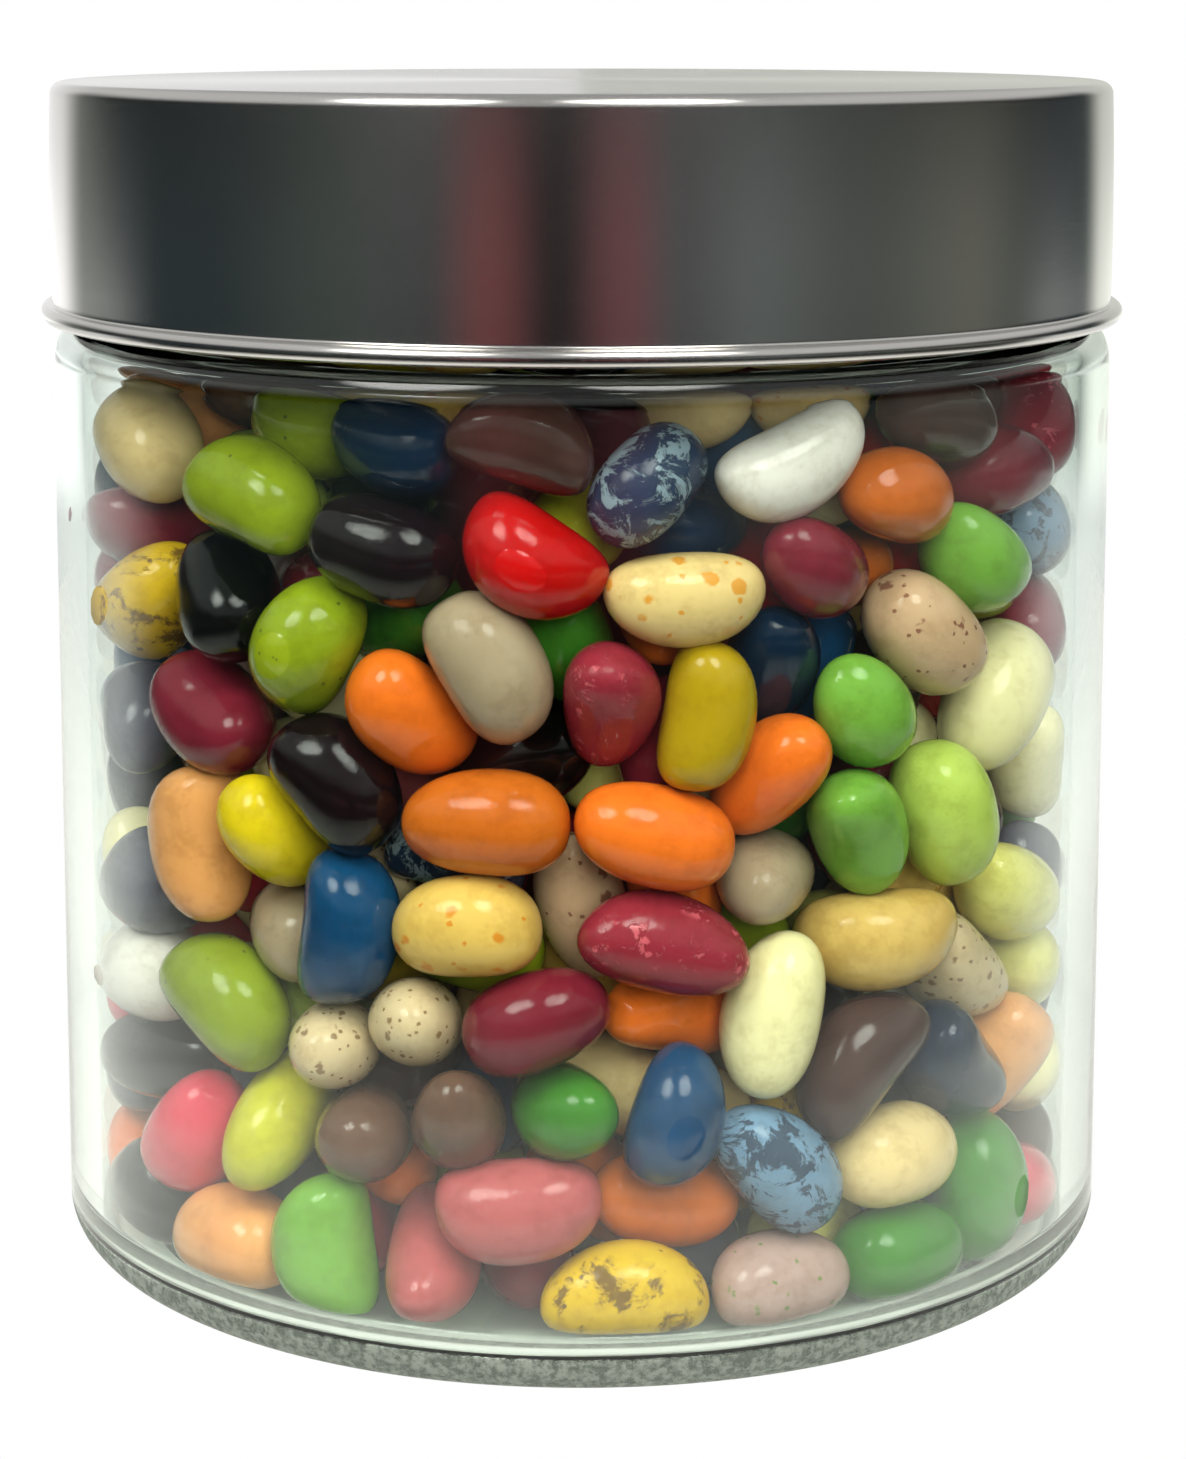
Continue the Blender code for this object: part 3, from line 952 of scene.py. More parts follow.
SEEN_AT_FOOT = (
    Seen(Kind.SLATE, x=117, y=1128, long=105, wide=88, turn=-30, depth=1),
    Seen(Kind.CORAL, x=187, y=1157, long=125, wide=98, turn=25),
    Seen(Kind.ORANGE, x=103, y=1183, long=110, wide=85, turn=-60, depth=1),
    Seen(Kind.BLACK, x=152, y=1235, long=115, wide=90, turn=-45, depth=0.5),
    Seen(Kind.PEACH, x=239, y=1246, long=125, wide=100, turn=75),
    Seen(Kind.GREEN, x=332, y=1261, long=148, wide=112, turn=80),
    Seen(Kind.BROWN, x=364, y=1143, long=110, wide=95, turn=-10, depth=0.2),
    Seen(Kind.BROWN, x=454, y=1124, long=122, wide=98, turn=80),
    Seen(Kind.LEAF, x=560, y=1128, long=105, wide=95, turn=0),
    Seen(Kind.SALMON, x=523, y=1228, long=160, wide=108, turn=-15),
    Seen(Kind.SALMON, x=444, y=1277, long=165, wide=98, turn=-80),
    Seen(Kind.WINE, x=538, y=1286, long=120, wide=95, turn=0, depth=2),
    Seen(Kind.MUSTARD, x=635, y=1311, long=168, wide=98, turn=0),
    Seen(Kind.BLUE, x=655, y=1118, long=140, wide=95, turn=86),
    Seen(Kind.AMBER, x=653, y=1213, long=150, wide=100, turn=-25, depth=0.3),
    Seen(Kind.STORMY, x=764, y=1171, long=155, wide=100, turn=-58),
    Seen(Kind.ROSE, x=768, y=1280, long=130, wide=95, turn=-18),
    Seen(Kind.LEAF, x=877, y=1266, long=110, wide=98, turn=0),
    Seen(Kind.CARAMEL, x=887, y=1170, long=137, wide=105, turn=8),
    Seen(Kind.LEAF, x=964, y=1210, long=155, wide=88, turn=75, depth=0.2),
    Seen(Kind.CORAL, x=1018, y=1195, long=120, wide=82, turn=-60),
    Seen(Kind.COCOA, x=1050, y=1150, long=120, wide=88, turn=-10, depth=0.5),
    Seen(Kind.PALE_LIME, x=816, y=1231, long=120, wide=95, turn=40, depth=1),
    Seen(Kind.AMBER, x=575, y=1205, long=120, wide=95, turn=-30, depth=1.2),
)


@dataclass
class BeanPacking:
    """Settles the beans in the jar until they hardly cut into each other.

    Each bean is a rod with round ends, held as its two end points. The seen beans are held near
    their places, and the loose ones fill what is left of the jar.

    Attributes:
        view: the photograph's view.
        inside: the glass's inner radius.
        floor: height of the heap's underside.
        top: height of the heap's top.
        shoulder_start: height from which the shoulder leans in.
        length: length of a usual bean.
        width: width of a usual bean.
        seen_width_range: least and greatest width of a seen bean, in usual ones.
        seen_length_range: least and greatest length of a seen bean, in usual ones.
        least_shown: least share of its straight part that a seen bean is taken to show.
        lane: how far behind the glass one step of depth is, in widths.
        fill: share of the room that all beans together fill.
        size_range: least and greatest size of a loose bean.
        levelling: weight of the upward part in a loose bean's direction.
        loose_back: how far behind the glass the loose beans stay in the camera's sector.
        front_sector: how soon that distance grows to the full one, towards the camera.
        wall_gap: gap between the glass and the beans' rods.
        shoulder_reach: share of its radius by which a bean meets the shoulder early.
        top_reach: share of its radius by which a bean's end stays under the top.
        steps: steps of the relaxation.
        start_size: share of their size at which the beans start.
        growth: how much of their size they would gain over all steps, if they didn't stop at full size.
        near_again: steps between two searches for near pairs.
        near_reach: how near the middles of a near pair are, in lengths.
        stiffness: how much less a held bean gives way than a loose one.
        give: share of the push that a step carries out.
        held_until: share of the steps in which beans are held or sink.
        sink: how far a loose bean sinks in a step.
        hold: share of the way back to its place that a held bean goes in a step.
        slide_share: share of the way along its line of sight that it is let off.
        seed: seed of the draws.
    """

    view: PhotoView
    inside: float
    floor: float
    top: float
    shoulder_start: float
    length: float = 0.0162
    width: float = 0.0098
    seen_width_range: Span = (0.92, 1.10)
    seen_length_range: Span = (0.95, 1.08)
    least_shown: float = 0.05
    lane: float = 0.62
    fill: float = 0.62
    size_range: Span = (0.93, 1.07)
    levelling: float = 0.8
    loose_back: float = 0.0092
    front_sector: float = 2.2
    wall_gap: float = 0.0004
    shoulder_reach: float = 0.6
    top_reach: float = 0.8
    steps: int = 1200
    start_size: float = 0.6
    growth: float = 0.8
    near_again: int = 10
    near_reach: float = 1.2
    stiffness: float = 8.0
    give: float = 0.55
    held_until: float = 0.78
    sink: float = 0.000004
    hold: float = 0.16
    slide_share: float = 0.9
    seed: int = 2026

    def __post_init__(self) -> None:
        """Starts the seeded draws and empties the lists."""
        self.draw = np.random.default_rng(self.seed)
        self.ends = np.zeros((0, 2, 3))
        self.radius = np.zeros(0)
        self.half = np.zeros(0)
        self.grip = np.zeros(0)
        self.back = np.zeros(0)
        self.sight = np.zeros((0, 3))
        self.kinds: list[Kind] = []

    def add(self, middles: np.ndarray, ways: np.ndarray, radius: np.ndarray, half: np.ndarray,
            sight: np.ndarray, grip: float, back: float, kinds: list[Kind]) -> None:
        """Adds beans to the jar.

        Args:
            middles: their middles.
            ways: unit directions of their lengths.
            radius: their radii.
            half: half of the distance between their end points.
            sight: the line of sight along which a held bean may slide, or zeros.
            grip: how hard they are held, from 0 for loose.
            back: how far behind the glass they stay in the camera's sector.
            kinds: their kinds.
        """
        ends = np.stack([middles - ways * half[:, None], middles + ways * half[:, None]], 1)
        self.ends = np.concatenate([self.ends, ends])
        self.radius = np.concatenate([self.radius, radius])
        self.half = np.concatenate([self.half, half])
        self.sight = np.concatenate([self.sight, np.broadcast_to(sight, middles.shape)])
        self.grip = np.concatenate([self.grip, np.full(len(radius), grip)])
        self.back = np.concatenate([self.back, np.full(len(radius), back)])
        self.kinds += kinds

    def add_seen(self, beans: tuple[Seen, ...]) -> None:
        """Places the beans that the photograph shows, by their lines of sight.

        Args:
            beans: what the photograph shows of each.
        """
        right, upward, forward = self.view.axes()
        for bean in beans:
            inset = self.width * (0.5 + self.lane * bean.depth)
            middle = self.view.reach(bean.x, bean.y, self.inside - inset)
            eye, sight = self.view.sight_line(bean.x, bean.y)
            scale = float((middle - eye) @ forward) / self.view.lens_px
            least, most = (self.width * share for share in self.seen_width_range)
            wide = float(np.clip(bean.wide * scale, least, most))
            seen_long = bean.long * scale
            least, most = (self.length * share for share in self.seen_length_range)
            long = float(np.clip(seen_long, least, most))
            turn = math.radians(bean.turn)
            level = right * math.cos(turn) + upward * math.sin(turn)
            level -= sight * (level @ sight)
            level /= np.linalg.norm(level)
            shown = float(np.clip((seen_long - wide) / (long - wide), self.least_shown, 1.0))
            lean = math.sqrt(1.0 - shown * shown)
            outward = middle * (1.0, 1.0, 0.0)
            outward /= np.linalg.norm(outward)
            ways = [level * shown + sight * lean * side for side in (-1.0, 1.0)]
            way = min(ways, key=lambda w: abs(float(w @ outward)))
            self.add(middle[None], way[None] / np.linalg.norm(way), np.array([wide / 2]),
                     np.array([(long - wide) / 2]), sight, 1.0, 0.0, [bean.kind])

    def add_loose(self) -> None:
        """Fills the rest of the jar with loose beans of seeded kinds, sizes and turns."""
        volume = math.pi * self.inside ** 2 * (self.top - self.floor)
        rod = math.pi * (self.width / 2) ** 2 * (self.length - self.width / 3)
        count = int(self.fill * volume / rod) - len(self.radius)
        size = np.sort(self.draw.uniform(*self.size_range, count))[::-1]
        reach = (self.inside - self.width / 2) * np.sqrt(self.draw.random(count))
        bearing = self.draw.uniform(0.0, math.tau, count)
        heights = self.draw.uniform(self.floor + self.width / 2, self.top - self.width / 2, count)
        middles = np.stack([reach * np.cos(bearing), reach * np.sin(bearing), heights], 1)
        ways = self.draw.normal(size=(count, 3)) * (1.0, 1.0, self.levelling)
        ways /= np.linalg.norm(ways, axis=1)[:, None]
        shares = np.array([FINISHES[kind].share for kind in Kind])
        picks = self.draw.choice(len(shares), size=count, p=shares / shares.sum())
        order = list(Kind)
        self.add(middles, ways, self.width / 2 * size, (self.length - self.width) / 2 * size,
                 np.zeros(3), 0.0, self.loose_back, [order[pick] for pick in picks])

    def touch(self, radius: np.ndarray, first: np.ndarray, second: np.ndarray
              ) -> tuple[np.ndarray, float]:
        """Works out how far each end point is pushed by the beans it touches.

        Args:
            radius: the beans' radii at this step.
            first: first bean of each near pair.
            second: second bean of each near pair.

        Returns:
            The push on each end point and the deepest overlap.
        """
        start_a, along_a = self.ends[first, 0], self.ends[first, 1] - self.ends[first, 0]
        start_b, along_b = self.ends[second, 0], self.ends[second, 1] - self.ends[second, 0]
        gap = start_a - start_b
        aa, ab, bb = (along_a ** 2).sum(1), (along_a * along_b).sum(1), (along_b ** 2).sum(1)
        ga, gb = (along_a * gap).sum(1), (along_b * gap).sum(1)
        s = np.clip((ab * gb - bb * ga) / np.maximum(aa * bb - ab * ab, 1e-16), 0.0, 1.0)
        t = np.clip((ab * s + gb) / bb, 0.0, 1.0)
        s = np.clip((ab * t - ga) / aa, 0.0, 1.0)
        apart = gap + along_a * s[:, None] - along_b * t[:, None]
        distance = np.sqrt((apart ** 2).sum(1)) + 1e-9
        deep = radius[first] + radius[second] - distance
        hit = deep > 0.0
        first, second, s, t = first[hit], second[hit], s[hit], t[hit]
        normal = apart[hit] * (deep[hit] / distance[hit])[:, None]
        ease_a = 1.0 / (1.0 + self.stiffness * self.grip[first])
        ease_b = 1.0 / (1.0 + self.stiffness * self.grip[second])
        share_a = ease_a / (ease_a + ease_b)
        push = np.zeros_like(self.ends)
        count = len(self.radius)
        for bean, where, share in ((first, s, share_a), (second, t, share_a - 1.0)):
            spread = (1.0 - where) ** 2 + where ** 2
            for end, part in ((0, 1.0 - where), (1, where)):
                for axis in range(3):
                    force = normal[:, axis] * share * part / spread
                    push[:, end, axis] += np.bincount(bean, force, count)
        return push, float(deep.max(initial=0.0))

    def contain(self) -> None:
        """Keeps the rods' length, and keeps them inside the glass and under the heap's top."""
        middle = self.ends.mean(1)
        way = self.ends[:, 1] - self.ends[:, 0]
        way /= np.linalg.norm(way, axis=1)[:, None]
        self.ends[:, 0] = middle - way * self.half[:, None]
        self.ends[:, 1] = middle + way * self.half[:, None]
        reach = np.hypot(self.ends[:, :, 0], self.ends[:, :, 1])
        facing = np.clip(-self.ends[:, :, 1] / np.maximum(reach, 1e-6) * self.front_sector, 0.0, 1.0)
        high = self.ends[:, :, 2] + self.shoulder_reach * self.radius[:, None] - self.shoulder_start
        limit = self.inside - self.wall_gap - self.radius[:, None] - self.back[:, None] * facing
        limit -= np.maximum(0.0, high)
        shrink = np.minimum(1.0, limit / np.maximum(reach, 1e-6))
        self.ends[:, :, :2] *= shrink[:, :, None]
        lowest = (self.floor + self.radius)[:, None]
        highest = (self.top - self.top_reach * self.radius)[:, None]
        self.ends[:, :, 2] = np.clip(self.ends[:, :, 2], lowest, highest)

    def settle(self) -> None:
        """Runs the relaxation, in which the beans swell, sink and push each other apart."""
        home = self.ends.copy()
        held = (self.grip > 0.0)[:, None, None]
        pairs_a, pairs_b = np.triu_indices(len(self.radius), 1)
        deepest = 0.0
        for step in range(self.steps):
            progress = step / self.steps
            swell = min(1.0, self.start_size + self.growth * progress)
            if step % self.near_again == 0:
                middle = self.ends.mean(1)
                apart = ((middle[pairs_a] - middle[pairs_b]) ** 2).sum(1)
                near = apart < (self.near_reach * self.length) ** 2
                first, second = pairs_a[near], pairs_b[near]
            push, deepest = self.touch(self.radius * swell, first, second)
            self.ends += self.give * push
            if progress < self.held_until:
                self.ends[:, :, 2] -= np.where(held[:, :, 0], 0.0, self.sink)
                away = home - self.ends
                slide = (away * self.sight[:, None]).sum(2, keepdims=True) * self.sight[:, None]
                self.ends += np.where(held, self.hold * (away - self.slide_share * slide), 0.0)
            self.contain()
        moved = np.linalg.norm((self.ends - home).mean(1), axis=1)[self.grip > 0.0]
        LOG.info("packed %d beans, deepest overlap %.2f mm, seen beans moved %.1f mm on average",
                 len(self.radius), deepest / MILLIMETRE, float(moved.mean()) / MILLIMETRE)


@dataclass
class BeanShape:
    """The form of a bean: full ends, a slight bow, one end fatter, and shallow dents."""

    around: int = 30
    rows: int = 20
    fullness: Span = (2.1, 2.6)
    bow: Span = (0.0003, 0.0024)
    taper: Span = (-0.08, 0.08)
    dents: float = 0.016
    dent_waves: float = 1.7
    flattest: float = 0.94
    bow_start: float = 0.4

    def __post_init__(self) -> None:
        """Works out the directions and the faces that every bean shares."""
        tilt = np.linspace(0.0, math.pi, self.rows + 1)[1:-1]
        spin = np.linspace(0.0, math.tau, self.around, endpoint=False)
        tilts, spins = np.meshgrid(tilt, spin, indexing="ij")
        body = np.stack([np.sin(tilts) * np.cos(spins), np.sin(tilts) * np.sin(spins), np.cos(tilts)], -1)
        self.directions = np.concatenate([[[0.0, 0.0, 1.0]], body.reshape(-1, 3), [[0.0, 0.0, -1.0]]])
        self.faces = self.make_faces()

    def make_faces(self) -> np.ndarray:
        """Lists the triangles of the shared grid.

        Returns:
            Three corner numbers for each triangle, facing out.
        """
        last = len(self.directions) - 1
        faces = []
        for column in range(self.around):
            beside = (column + 1) % self.around
            faces.append((0, 1 + column, 1 + beside))
            bottom = 1 + (self.rows - 2) * self.around
            faces.append((last, bottom + beside, bottom + column))
            for row in range(self.rows - 2):
                upper, lower = 1 + row * self.around, 1 + (row + 1) * self.around
                faces.append((upper + column, lower + column, lower + beside))
                faces.append((upper + column, lower + beside, upper + beside))
        return np.array(faces)

    def points(self, length: float, width: float, draw: np.random.Generator) -> np.ndarray:
        """Shapes one bean along its own Z.

        Args:
            length: from end to end.
            width: across the middle.
            draw: the seeded draws.

        Returns:
            The corner points.
        """
        full = draw.uniform(*self.fullness)
        along = self.directions[:, 2]
        girth = np.hypot(self.directions[:, 0], self.directions[:, 1])
        swell = (1.0 - np.abs(along) ** full) ** (1.0 / full) / np.maximum(girth, 1e-6)
        swell = np.where(girth > 1e-4, swell, 0.0) * (1.0 + draw.uniform(*self.taper) * along)
        waves = draw.normal(size=(4, 3)) * self.dent_waves
        phases = draw.uniform(0.0, math.tau, 4)
        dent = np.sin(self.directions @ waves.T + phases).sum(1) * self.dents
        shape = self.directions * (1.0 + dent)[:, None]
        flat = draw.uniform(self.flattest, 1.0)
        points = np.empty_like(shape)
        points[:, 0] = shape[:, 0] * swell * width / 2
        points[:, 1] = shape[:, 1] * swell * width / 2 * flat
        points[:, 2] = shape[:, 2] * length / 2
        points[:, 0] += draw.uniform(*self.bow) * (self.bow_start - along ** 2)
        return points


@dataclass
class BeanHeap:
    """The beans, one piece for each kind, over a dark core: painted shade that stands for the shaded beans
    deep inside.
    """

    jar: GlassJar
    view: PhotoView
    node: str = "jelly_beans"
    core_radius: float = 0.030
    core_inset: float = 0.016
    core_rounding: float = 0.006
    core_sides: int = 48
    core_crease: float = 60.0
    # Two dark browns, mottled by noise: painted shade of the beans deep inside the heap.
    core_shade_dark: Colour = (40, 26, 24)
    core_shade_pale: Colour = (70, 44, 34)
    core_roughness: float = 0.7
    floor_gap: float = 0.0003
    seed: int = 77
    shape: BeanShape = field(default_factory=BeanShape)

    def __post_init__(self) -> None:
        """Reads the heap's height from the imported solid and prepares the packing."""
        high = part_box(self.node)[1]
        self.top = high[2]
        self.packing = BeanPacking(self.view, self.jar.inside, self.jar.floor + self.floor_gap, self.top,
                                   self.jar.shoulder_start)
        self.draw = np.random.default_rng(self.seed)

    def is_deep(self, middle: np.ndarray) -> bool:
        """Says whether a bean lies so deep that the core stands for it.

        Args:
            middle: the bean's middle.

        Returns:
            True for a bean in the core's place.
        """
        inset = self.core_inset
        return bool(np.hypot(middle[0], middle[1]) < self.core_radius
                    and self.jar.floor + inset < middle[2] < self.top - inset)

    def bean_points(self, number: int) -> np.ndarray:
        """Shapes one packed bean and puts it in its place.

        Args:
            number: its number in the packing.

        Returns:
            Its corner points in the jar's frame.
        """
        ends, radius, half = self.packing.ends[number], self.packing.radius[number], self.packing.half[number]
        points = self.shape.points(2.0 * (half + radius), 2.0 * radius, self.draw)
        way = (ends[1] - ends[0]) / np.linalg.norm(ends[1] - ends[0])
        spin = self.draw.uniform(0.0, math.tau)
        side = np.cross(way, (0.0, 0.0, 1.0) if abs(way[2]) < 0.9 else (1.0, 0.0, 0.0))
        side /= np.linalg.norm(side)
        other = np.cross(way, side)
        bowed = side * math.cos(spin) + other * math.sin(spin)
        turn = np.stack([bowed, np.cross(way, bowed), way])
        return points @ turn + ends.mean(0)

    def build_kind(self, kind: Kind, numbers: list[int]) -> bpy.types.Object:
        """Joins the beans of one kind in one mesh.

        Args:
            kind: the kind.
            numbers: the numbers of its beans in the packing.

        Returns:
            The piece.
        """
        points = np.concatenate([self.bean_points(number) for number in numbers])
        each = len(self.shape.directions)
        faces = np.concatenate([self.shape.faces + each * place for place in range(len(numbers))])
        mesh = bpy.data.meshes.new("beans_" + kind.value)
        mesh.vertices.add(len(points))
        mesh.vertices.foreach_set("co", points.ravel())
        mesh.loops.add(faces.size)
        mesh.loops.foreach_set("vertex_index", faces.ravel())
        mesh.polygons.add(len(faces))
        mesh.polygons.foreach_set("loop_start", np.arange(len(faces)) * 3)
        mesh.update(calc_edges=True)
        mesh.validate()
        mesh.shade_smooth()
        tones = np.repeat(self.draw.random(len(numbers)), each)
        mesh.attributes.new("tone", "FLOAT", "POINT").data.foreach_set("value", tones)
        mesh.materials.append(FINISHES[kind].material("bean_" + kind.value))
        piece = bpy.data.objects.new("beans_" + kind.value, mesh)
        bpy.context.scene.collection.objects.link(piece)
        return piece

    def build_core(self) -> bpy.types.Object:
        """Makes the dark core, painted shade that stands for the shaded beans deep inside.

        Returns:
            The core.
        """
        low, high = self.jar.floor + self.core_inset, self.top - self.core_inset
        round_off = self.core_rounding
        profile = [(0.0, high)]
        profile += arc((self.core_radius - round_off, high - round_off), round_off, 90.0, 0.0, 6)
        profile += arc((self.core_radius - round_off, low + round_off), round_off, 0.0, -90.0, 6)
        profile += [(0.0, low)]
        piece = turned("bean_core", profile, self.core_sides, self.core_crease)
        # Painted shade: the core mixes two dark browns, which stand for the shaded beans deep inside.
        sketch = NodeSketch.material("core_shade")
        shade = sketch.noise(scale=200.0, detail=3.0)
        colour = sketch.mix(shade, linear(self.core_shade_dark), linear(self.core_shade_pale))
        shell = sketch.add("BsdfPrincipled", Base_Color=colour)
        shell.inputs["Roughness"].default_value = self.core_roughness
        piece.data.materials.append(sketch.finish(shell.outputs[0]))
        return piece

    def build(self) -> list[bpy.types.Object]:
        """Packs the beans and makes their pieces.

        Returns:
            The pieces.
        """
        for group in (SEEN_AT_TOP, SEEN_ABOVE_MIDDLE, SEEN_BELOW_MIDDLE, SEEN_AT_FOOT):
            self.packing.add_seen(group)
        self.packing.add_loose()
        self.packing.settle()
        middles = self.packing.ends.mean(1)
        shown = [number for number in range(len(middles)) if not self.is_deep(middles[number])]
        pieces = [self.build_core()]
        for kind in Kind:
            numbers = [number for number in shown if self.packing.kinds[number] is kind]
            if numbers:
                pieces.append(self.build_kind(kind, numbers))
        for piece in pieces:
            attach(piece, "root")
            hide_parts(self.node)
        faces = sum(len(piece.data.polygons) for piece in pieces)
        LOG.info("made %d beans in %d pieces, %d faces", len(shown), len(pieces), faces)
        return pieces


@dataclass(frozen=True)
class RoomTone:
    """A tone of the room at a bearing, in degrees from the camera and to its right."""

    bearing: float
    colour: Colour


def direction(bearing: float, rise: float) -> Vector:
    """Gives the unit vector at a bearing from the camera and a height angle, both in degrees."""
    turn, lift = math.radians(bearing), math.radians(rise)
    return Vector((math.cos(lift) * math.sin(turn), -math.cos(lift) * math.cos(turn), math.sin(lift)))


@dataclass(frozen=True)
class Lamp:
    """A soft round lamp, placed by bearing, height angle and distance from the jar."""

    name: str
    bearing: float
    rise: float
    distance: float
    size: float
    power: float


@dataclass(frozen=True)
class Glint:
    """A small bright patch of the room that only gloss shows, at a bearing and height angle in degrees."""

    bearing: float
    rise: float


@dataclass
class Studio:
    """A white sheet that the jar stands on, a dim room in front of it, a pale ceiling and four lamps.

    A pair of values says where a part of the room begins and where it is full. Unless the line
    says otherwise, they are parts of the unit vector towards it.

    Attributes:
        sheet_half: half of the sheet's width.
        sheet_colour: its colour as the jar sees it. The camera sees plain white.
        sheet_front: place of its front edge.
        sheet_back: place of its back edge.
        white_to: distance from the jar's axis up to which the jar sees the sheet.
        dark_from: distance from which it doesn't.
        side_stretch: how much farther both reach to the sides.
        white_behind: places behind the jar between which the sheet comes back, in metres.
        white_middle: how far to each side it is full there, in metres.
        bright_behind: how far back the room's bright end is.
        ground: colour of the room below the sheet's level.
        ground_below: how far down that is.
        wall_strength: strength of the walls in front of the jar, above the glow.
        glow_gain: how much brighter they are low down.
        glow_below: how far down that glow is.
        glow_loss: how much of it is lost again below.
        glow_until: how far down it is lost.
        table: colour of the table behind and beside the sheet.
        table_below: how far down the table is.
        table_behind: how far it begins behind the jar, counted towards the camera.
        ceiling: colour of the ceiling.
        ceiling_strength: strength of the ceiling over the jar.
        ceiling_above: how far up the ceiling is.
        panel_gain: how much brighter it is to the left and the right.
        panels_beside: how far to the side it is.
        room: tones of the walls by bearing, in rising order.
        lamps: the lamps.
        glints: bright patches that make the highlights.
        glint_half: half of a patch's width in degrees, to the middle of its soft edge.
        glint_soft: half of the width of its soft edge in degrees.
        glint_strength: strength of a patch.
        glint_colour: colour of a patch.
        lamp_colour: colour of the lamps.
        lamp_aim: height on the jar's axis at which the lamps shine.
    """

    sheet_half: float = 0.36
    sheet_colour: Colour = (220, 220, 218)
    sheet_front: float = -0.30
    sheet_back: float = 0.40
    white_to: float = 0.070
    dark_from: float = 0.190
    side_stretch: float = 1.25
    white_behind: Span = (-0.02, 0.10)
    white_middle: float = 0.16
    bright_behind: Span = (0.35, 0.75)
    ground: Colour = (40, 44, 44)
    ground_below: Span = (-0.25, -0.45)
    wall_strength: float = 0.10
    glow_gain: float = 1.55
    glow_below: Span = (0.05, -0.11)
    glow_loss: float = 1.35
    glow_until: Span = (-0.12, -0.18)
    table: Colour = (250, 251, 249)
    table_below: Span = (-0.115, -0.16)
    table_behind: Span = (-0.15, -0.50)
    ceiling: Colour = (205, 206, 206)
    ceiling_strength: float = 0.80
    ceiling_above: Span = (0.12, 0.45)
    panel_gain: float = 0.50
    panels_beside: Span = (0.12, 0.60)
    room: tuple[RoomTone, ...] = (
        RoomTone(-180, (255, 255, 255)),
        RoomTone(-148, (250, 250, 250)),
        RoomTone(-131, (112, 116, 112)),
        RoomTone(-112, (42, 54, 58)),
        RoomTone(-84, (48, 60, 64)),
        RoomTone(-53, (68, 82, 78)),
        RoomTone(-32, (60, 66, 70)),
        RoomTone(-19, (142, 74, 78)),
        RoomTone(-5, (20, 18, 22)),
        RoomTone(9, (136, 76, 84)),
        RoomTone(20, (90, 92, 96)),
        RoomTone(36, (116, 124, 124)),
        RoomTone(60, (98, 104, 100)),
        RoomTone(88, (120, 122, 114)),
        RoomTone(118, (42, 54, 58)),
        RoomTone(134, (44, 56, 58)),
        RoomTone(148, (220, 222, 214)),
    )
    lamps: tuple[Lamp, ...] = (
        Lamp("lamp_left", bearing=-42, rise=50, distance=0.8, size=0.32, power=3.3),
        Lamp("lamp_right", bearing=12, rise=58, distance=0.8, size=0.32, power=3.3),
        Lamp("lamp_front", bearing=10, rise=30, distance=1.0, size=0.7, power=9.0),
        Lamp("lamp_back", bearing=180, rise=38, distance=1.0, size=0.7, power=3.6),
    )
    glints: tuple[Glint, ...] = (Glint(-44, 47), Glint(20, 54))
    glint_half: float = 12.0
    glint_soft: float = 3.5
    glint_strength: float = 11.0
    glint_colour: tuple[float, ...] = (1.0, 0.98, 0.95, 1.0)
    lamp_colour: tuple[float, ...] = (1.0, 0.97, 0.92)
    lamp_aim: float = 0.06

    def build_sheet(self) -> bpy.types.Object:
        """Makes the white sheet under the jar, which fades out some way in front of it and beside it.

        Returns:
            The sheet.
        """
        half = self.sheet_half
        mesh = bpy.data.meshes.new("sheet")
        corners = [(-half, self.sheet_front, 0.0), (half, self.sheet_front, 0.0)]
        corners += [(half, self.sheet_back, 0.0), (-half, self.sheet_back, 0.0)]
        mesh.from_pydata(corners, [], [(0, 1, 2, 3)])
        sketch = NodeSketch.material("white_sheet")
        axes = sketch.add("SeparateXYZ", Vector=sketch.place)
        across = sketch.maths("DIVIDE", axes.outputs["X"], self.side_stretch)
        squared = sketch.maths("MULTIPLY", axes.outputs["Y"], axes.outputs["Y"])
        distance = sketch.maths("SQRT", sketch.maths("MULTIPLY_ADD", across, across, squared))
        near = sketch.step(distance, self.dark_from, self.white_to)
        behind = sketch.step(axes.outputs["Y"], *self.white_behind)
        aside = sketch.maths("ABSOLUTE", axes.outputs["X"])
        middle = sketch.step(aside, self.sheet_half, self.white_middle)
        white = sketch.maths("MAXIMUM", near, sketch.maths("MULTIPLY", behind, middle))
        shell = sketch.add("BsdfDiffuse", Color=linear(self.sheet_colour))
        gone = sketch.add("BsdfTransparent")
        paper = sketch.blend(white, gone.outputs[0], shell.outputs[0])
        plain = sketch.add("Emission", Color=(1.0, 1.0, 1.0, 1.0))
        seen = sketch.add("LightPath").outputs["Is Camera Ray"]
        mesh.materials.append(sketch.finish(sketch.blend(seen, paper, plain.outputs[0])))
        sheet = bpy.data.objects.new("sheet", mesh)
        bpy.context.scene.collection.objects.link(sheet)
        return sheet

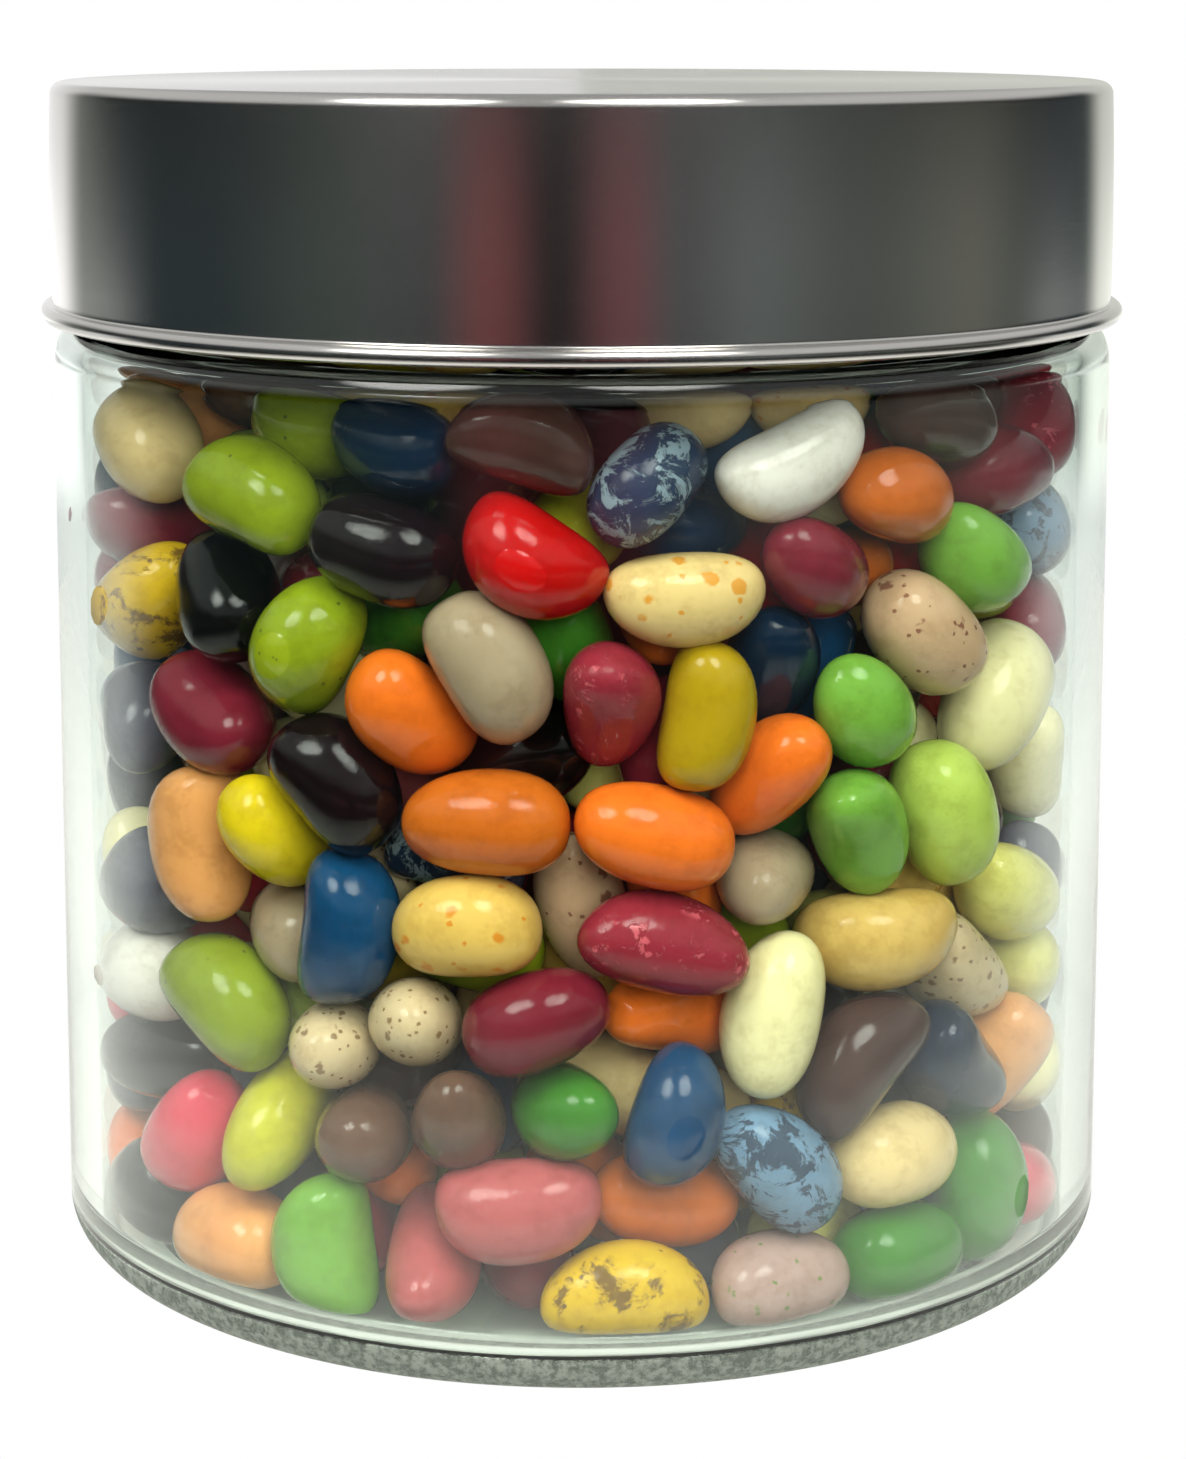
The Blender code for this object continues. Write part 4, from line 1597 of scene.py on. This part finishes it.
    def build_walls(self, sketch: NodeSketch) -> bpy.types.NodeSocket:
        """Makes the room up to the ceiling: tones by bearing, a glow low down, the ground and the table.

        Args:
            sketch: the world to build in.

        Returns:
            The walls' shader.
        """
        axes = sketch.add("SeparateXYZ", Vector=sketch.way)
        ahead = sketch.maths("MULTIPLY", axes.outputs["Y"], -1.0)
        bearing = sketch.maths("ARCTAN2", axes.outputs["X"], ahead)
        ramp = sketch.add("ValToRGB", Fac=sketch.maths("MULTIPLY_ADD", bearing, 1.0 / math.tau, 0.5))
        ramp.color_ramp.interpolation = "EASE"
        stops = ramp.color_ramp.elements
        while len(stops) < len(self.room):
            stops.new(0.5)
        for stop, tone in zip(stops, self.room):
            stop.position = (tone.bearing + 180.0) / 360.0
            stop.color = linear(tone.colour)
        behind = sketch.step(axes.outputs["Y"], *self.bright_behind)
        below = sketch.maths("MULTIPLY", sketch.step(axes.outputs["Z"], *self.ground_below),
                             sketch.maths("SUBTRACT", 1.0, behind))
        walls = sketch.mix(below, ramp.outputs[0], linear(self.ground))
        glow = sketch.step(axes.outputs["Z"], *self.glow_below)
        lower = sketch.maths("MULTIPLY_ADD", glow, self.glow_gain, self.wall_strength)
        past = sketch.step(axes.outputs["Z"], *self.glow_until)
        lower = sketch.maths("MULTIPLY_ADD", past, -self.glow_loss, lower)
        beside = sketch.maths("MULTIPLY", sketch.step(axes.outputs["Z"], *self.table_below),
                              sketch.step(ahead, *self.table_behind))
        walls = sketch.mix(beside, walls, linear(self.table))
        strength = sketch.maths("MAXIMUM", lower, sketch.maths("MAXIMUM", behind, beside))
        return sketch.add("Background", Color=walls, Strength=strength).outputs[0]

    def add_ceiling(self, sketch: NodeSketch, room: bpy.types.NodeSocket) -> bpy.types.NodeSocket:
        """Adds the pale ceiling, which is brighter to the left and the right of the jar.

        Args:
            sketch: the world to build in.
            room: shader of the room without a ceiling.

        Returns:
            The shader of the room with it.
        """
        axes = sketch.add("SeparateXYZ", Vector=sketch.way)
        panels = sketch.step(sketch.maths("ABSOLUTE", axes.outputs["X"]), *self.panels_beside)
        strength = sketch.maths("MULTIPLY_ADD", panels, self.panel_gain, self.ceiling_strength)
        above = sketch.add("Background", Color=linear(self.ceiling), Strength=strength)
        high = sketch.step(axes.outputs["Z"], *self.ceiling_above)
        return sketch.blend(high, room, above.outputs[0])

    def add_glints(self, sketch: NodeSketch, room: bpy.types.NodeSocket,
                   path: bpy.types.bpy_prop_collection) -> bpy.types.NodeSocket:
        """Adds the bright patches that only glossy surfaces show, as highlights.

        Args:
            sketch: the world to build in.
            room: shader of the room without them.
            path: outputs of the light path.

        Returns:
            The shader of the room with them.
        """
        glossy = sketch.maths("MULTIPLY", sketch.maths("GREATER_THAN", path["Glossy Depth"], 0.5),
                              sketch.maths("LESS_THAN", path["Diffuse Depth"], 0.5))
        bulb = sketch.add("Background", Color=self.glint_colour, Strength=self.glint_strength)
        near, far = (math.cos(math.radians(self.glint_half + side * self.glint_soft)) for side in (-1, 1))
        for glint in self.glints:
            towards = sketch.dot(sketch.way, tuple(direction(glint.bearing, glint.rise)))
            spot = sketch.maths("MULTIPLY", sketch.step(towards, far, near), glossy)
            room = sketch.blend(spot, room, bulb.outputs[0])
        return room

    def build_world(self) -> None:
        """Makes the room as the jar sees it, and plain white behind the view."""
        sketch = NodeSketch(bpy.data.worlds.new("room"))
        path = sketch.add("LightPath").outputs
        room = self.add_ceiling(sketch, self.build_walls(sketch))
        room = self.add_glints(sketch, room, path)
        plain = sketch.add("Background", Color=(1.0, 1.0, 1.0, 1.0))
        world = sketch.finish(sketch.blend(path["Is Camera Ray"], room, plain.outputs[0]))
        world.cycles.sampling_method = "NONE"
        bpy.context.scene.world = world

    def build_lamp(self, lamp: Lamp) -> bpy.types.Object:
        """Hangs one lamp, which shines at the jar.

        Args:
            lamp: its place, size and power.

        Returns:
            The lamp.
        """
        data = bpy.data.lights.new(lamp.name, "AREA")
        data.shape = "DISK"
        data.size = lamp.size
        data.energy = lamp.power
        data.color = self.lamp_colour
        data.cycles.use_multiple_importance_sampling = False
        bulb = bpy.data.objects.new(lamp.name, data)
        place = lamp.distance * direction(lamp.bearing, lamp.rise)
        bulb.location = place
        shine = Vector((0.0, 0.0, self.lamp_aim)) - place
        bulb.rotation_euler = shine.to_track_quat("-Z", "Y").to_euler()
        bulb.visible_transmission = False
        bulb.visible_glossy = False
        bpy.context.scene.collection.objects.link(bulb)
        return bulb

    def build(self) -> None:
        """Builds the sheet, the room and the lamps, and sets how light becomes colour."""
        self.build_sheet()
        self.build_world()
        for lamp in self.lamps:
            self.build_lamp(lamp)
        scene = bpy.context.scene
        scene.view_settings.view_transform = "Standard"
        scene.view_settings.look = "None"
        scene.view_settings.exposure = 0.0
        scene.cycles.max_bounces = 10
        scene.cycles.diffuse_bounces = 3
        scene.cycles.glossy_bounces = 4
        scene.cycles.transmission_bounces = 8


def main() -> None:
    """Builds the camera, the studio, the jar, its cap and the beans."""
    logging.basicConfig(level=logging.INFO, format="%(name)s: %(message)s")
    view = PhotoView()
    view.build()
    Studio().build()
    jar = GlassJar()
    LOG.info("made %s", jar.build().name)
    LOG.info("made %s", SteelCap().build().name)
    for piece in BeanHeap(jar, view).build():
        LOG.info("made %s", piece.name)


if __name__ == "__main__":
    main()
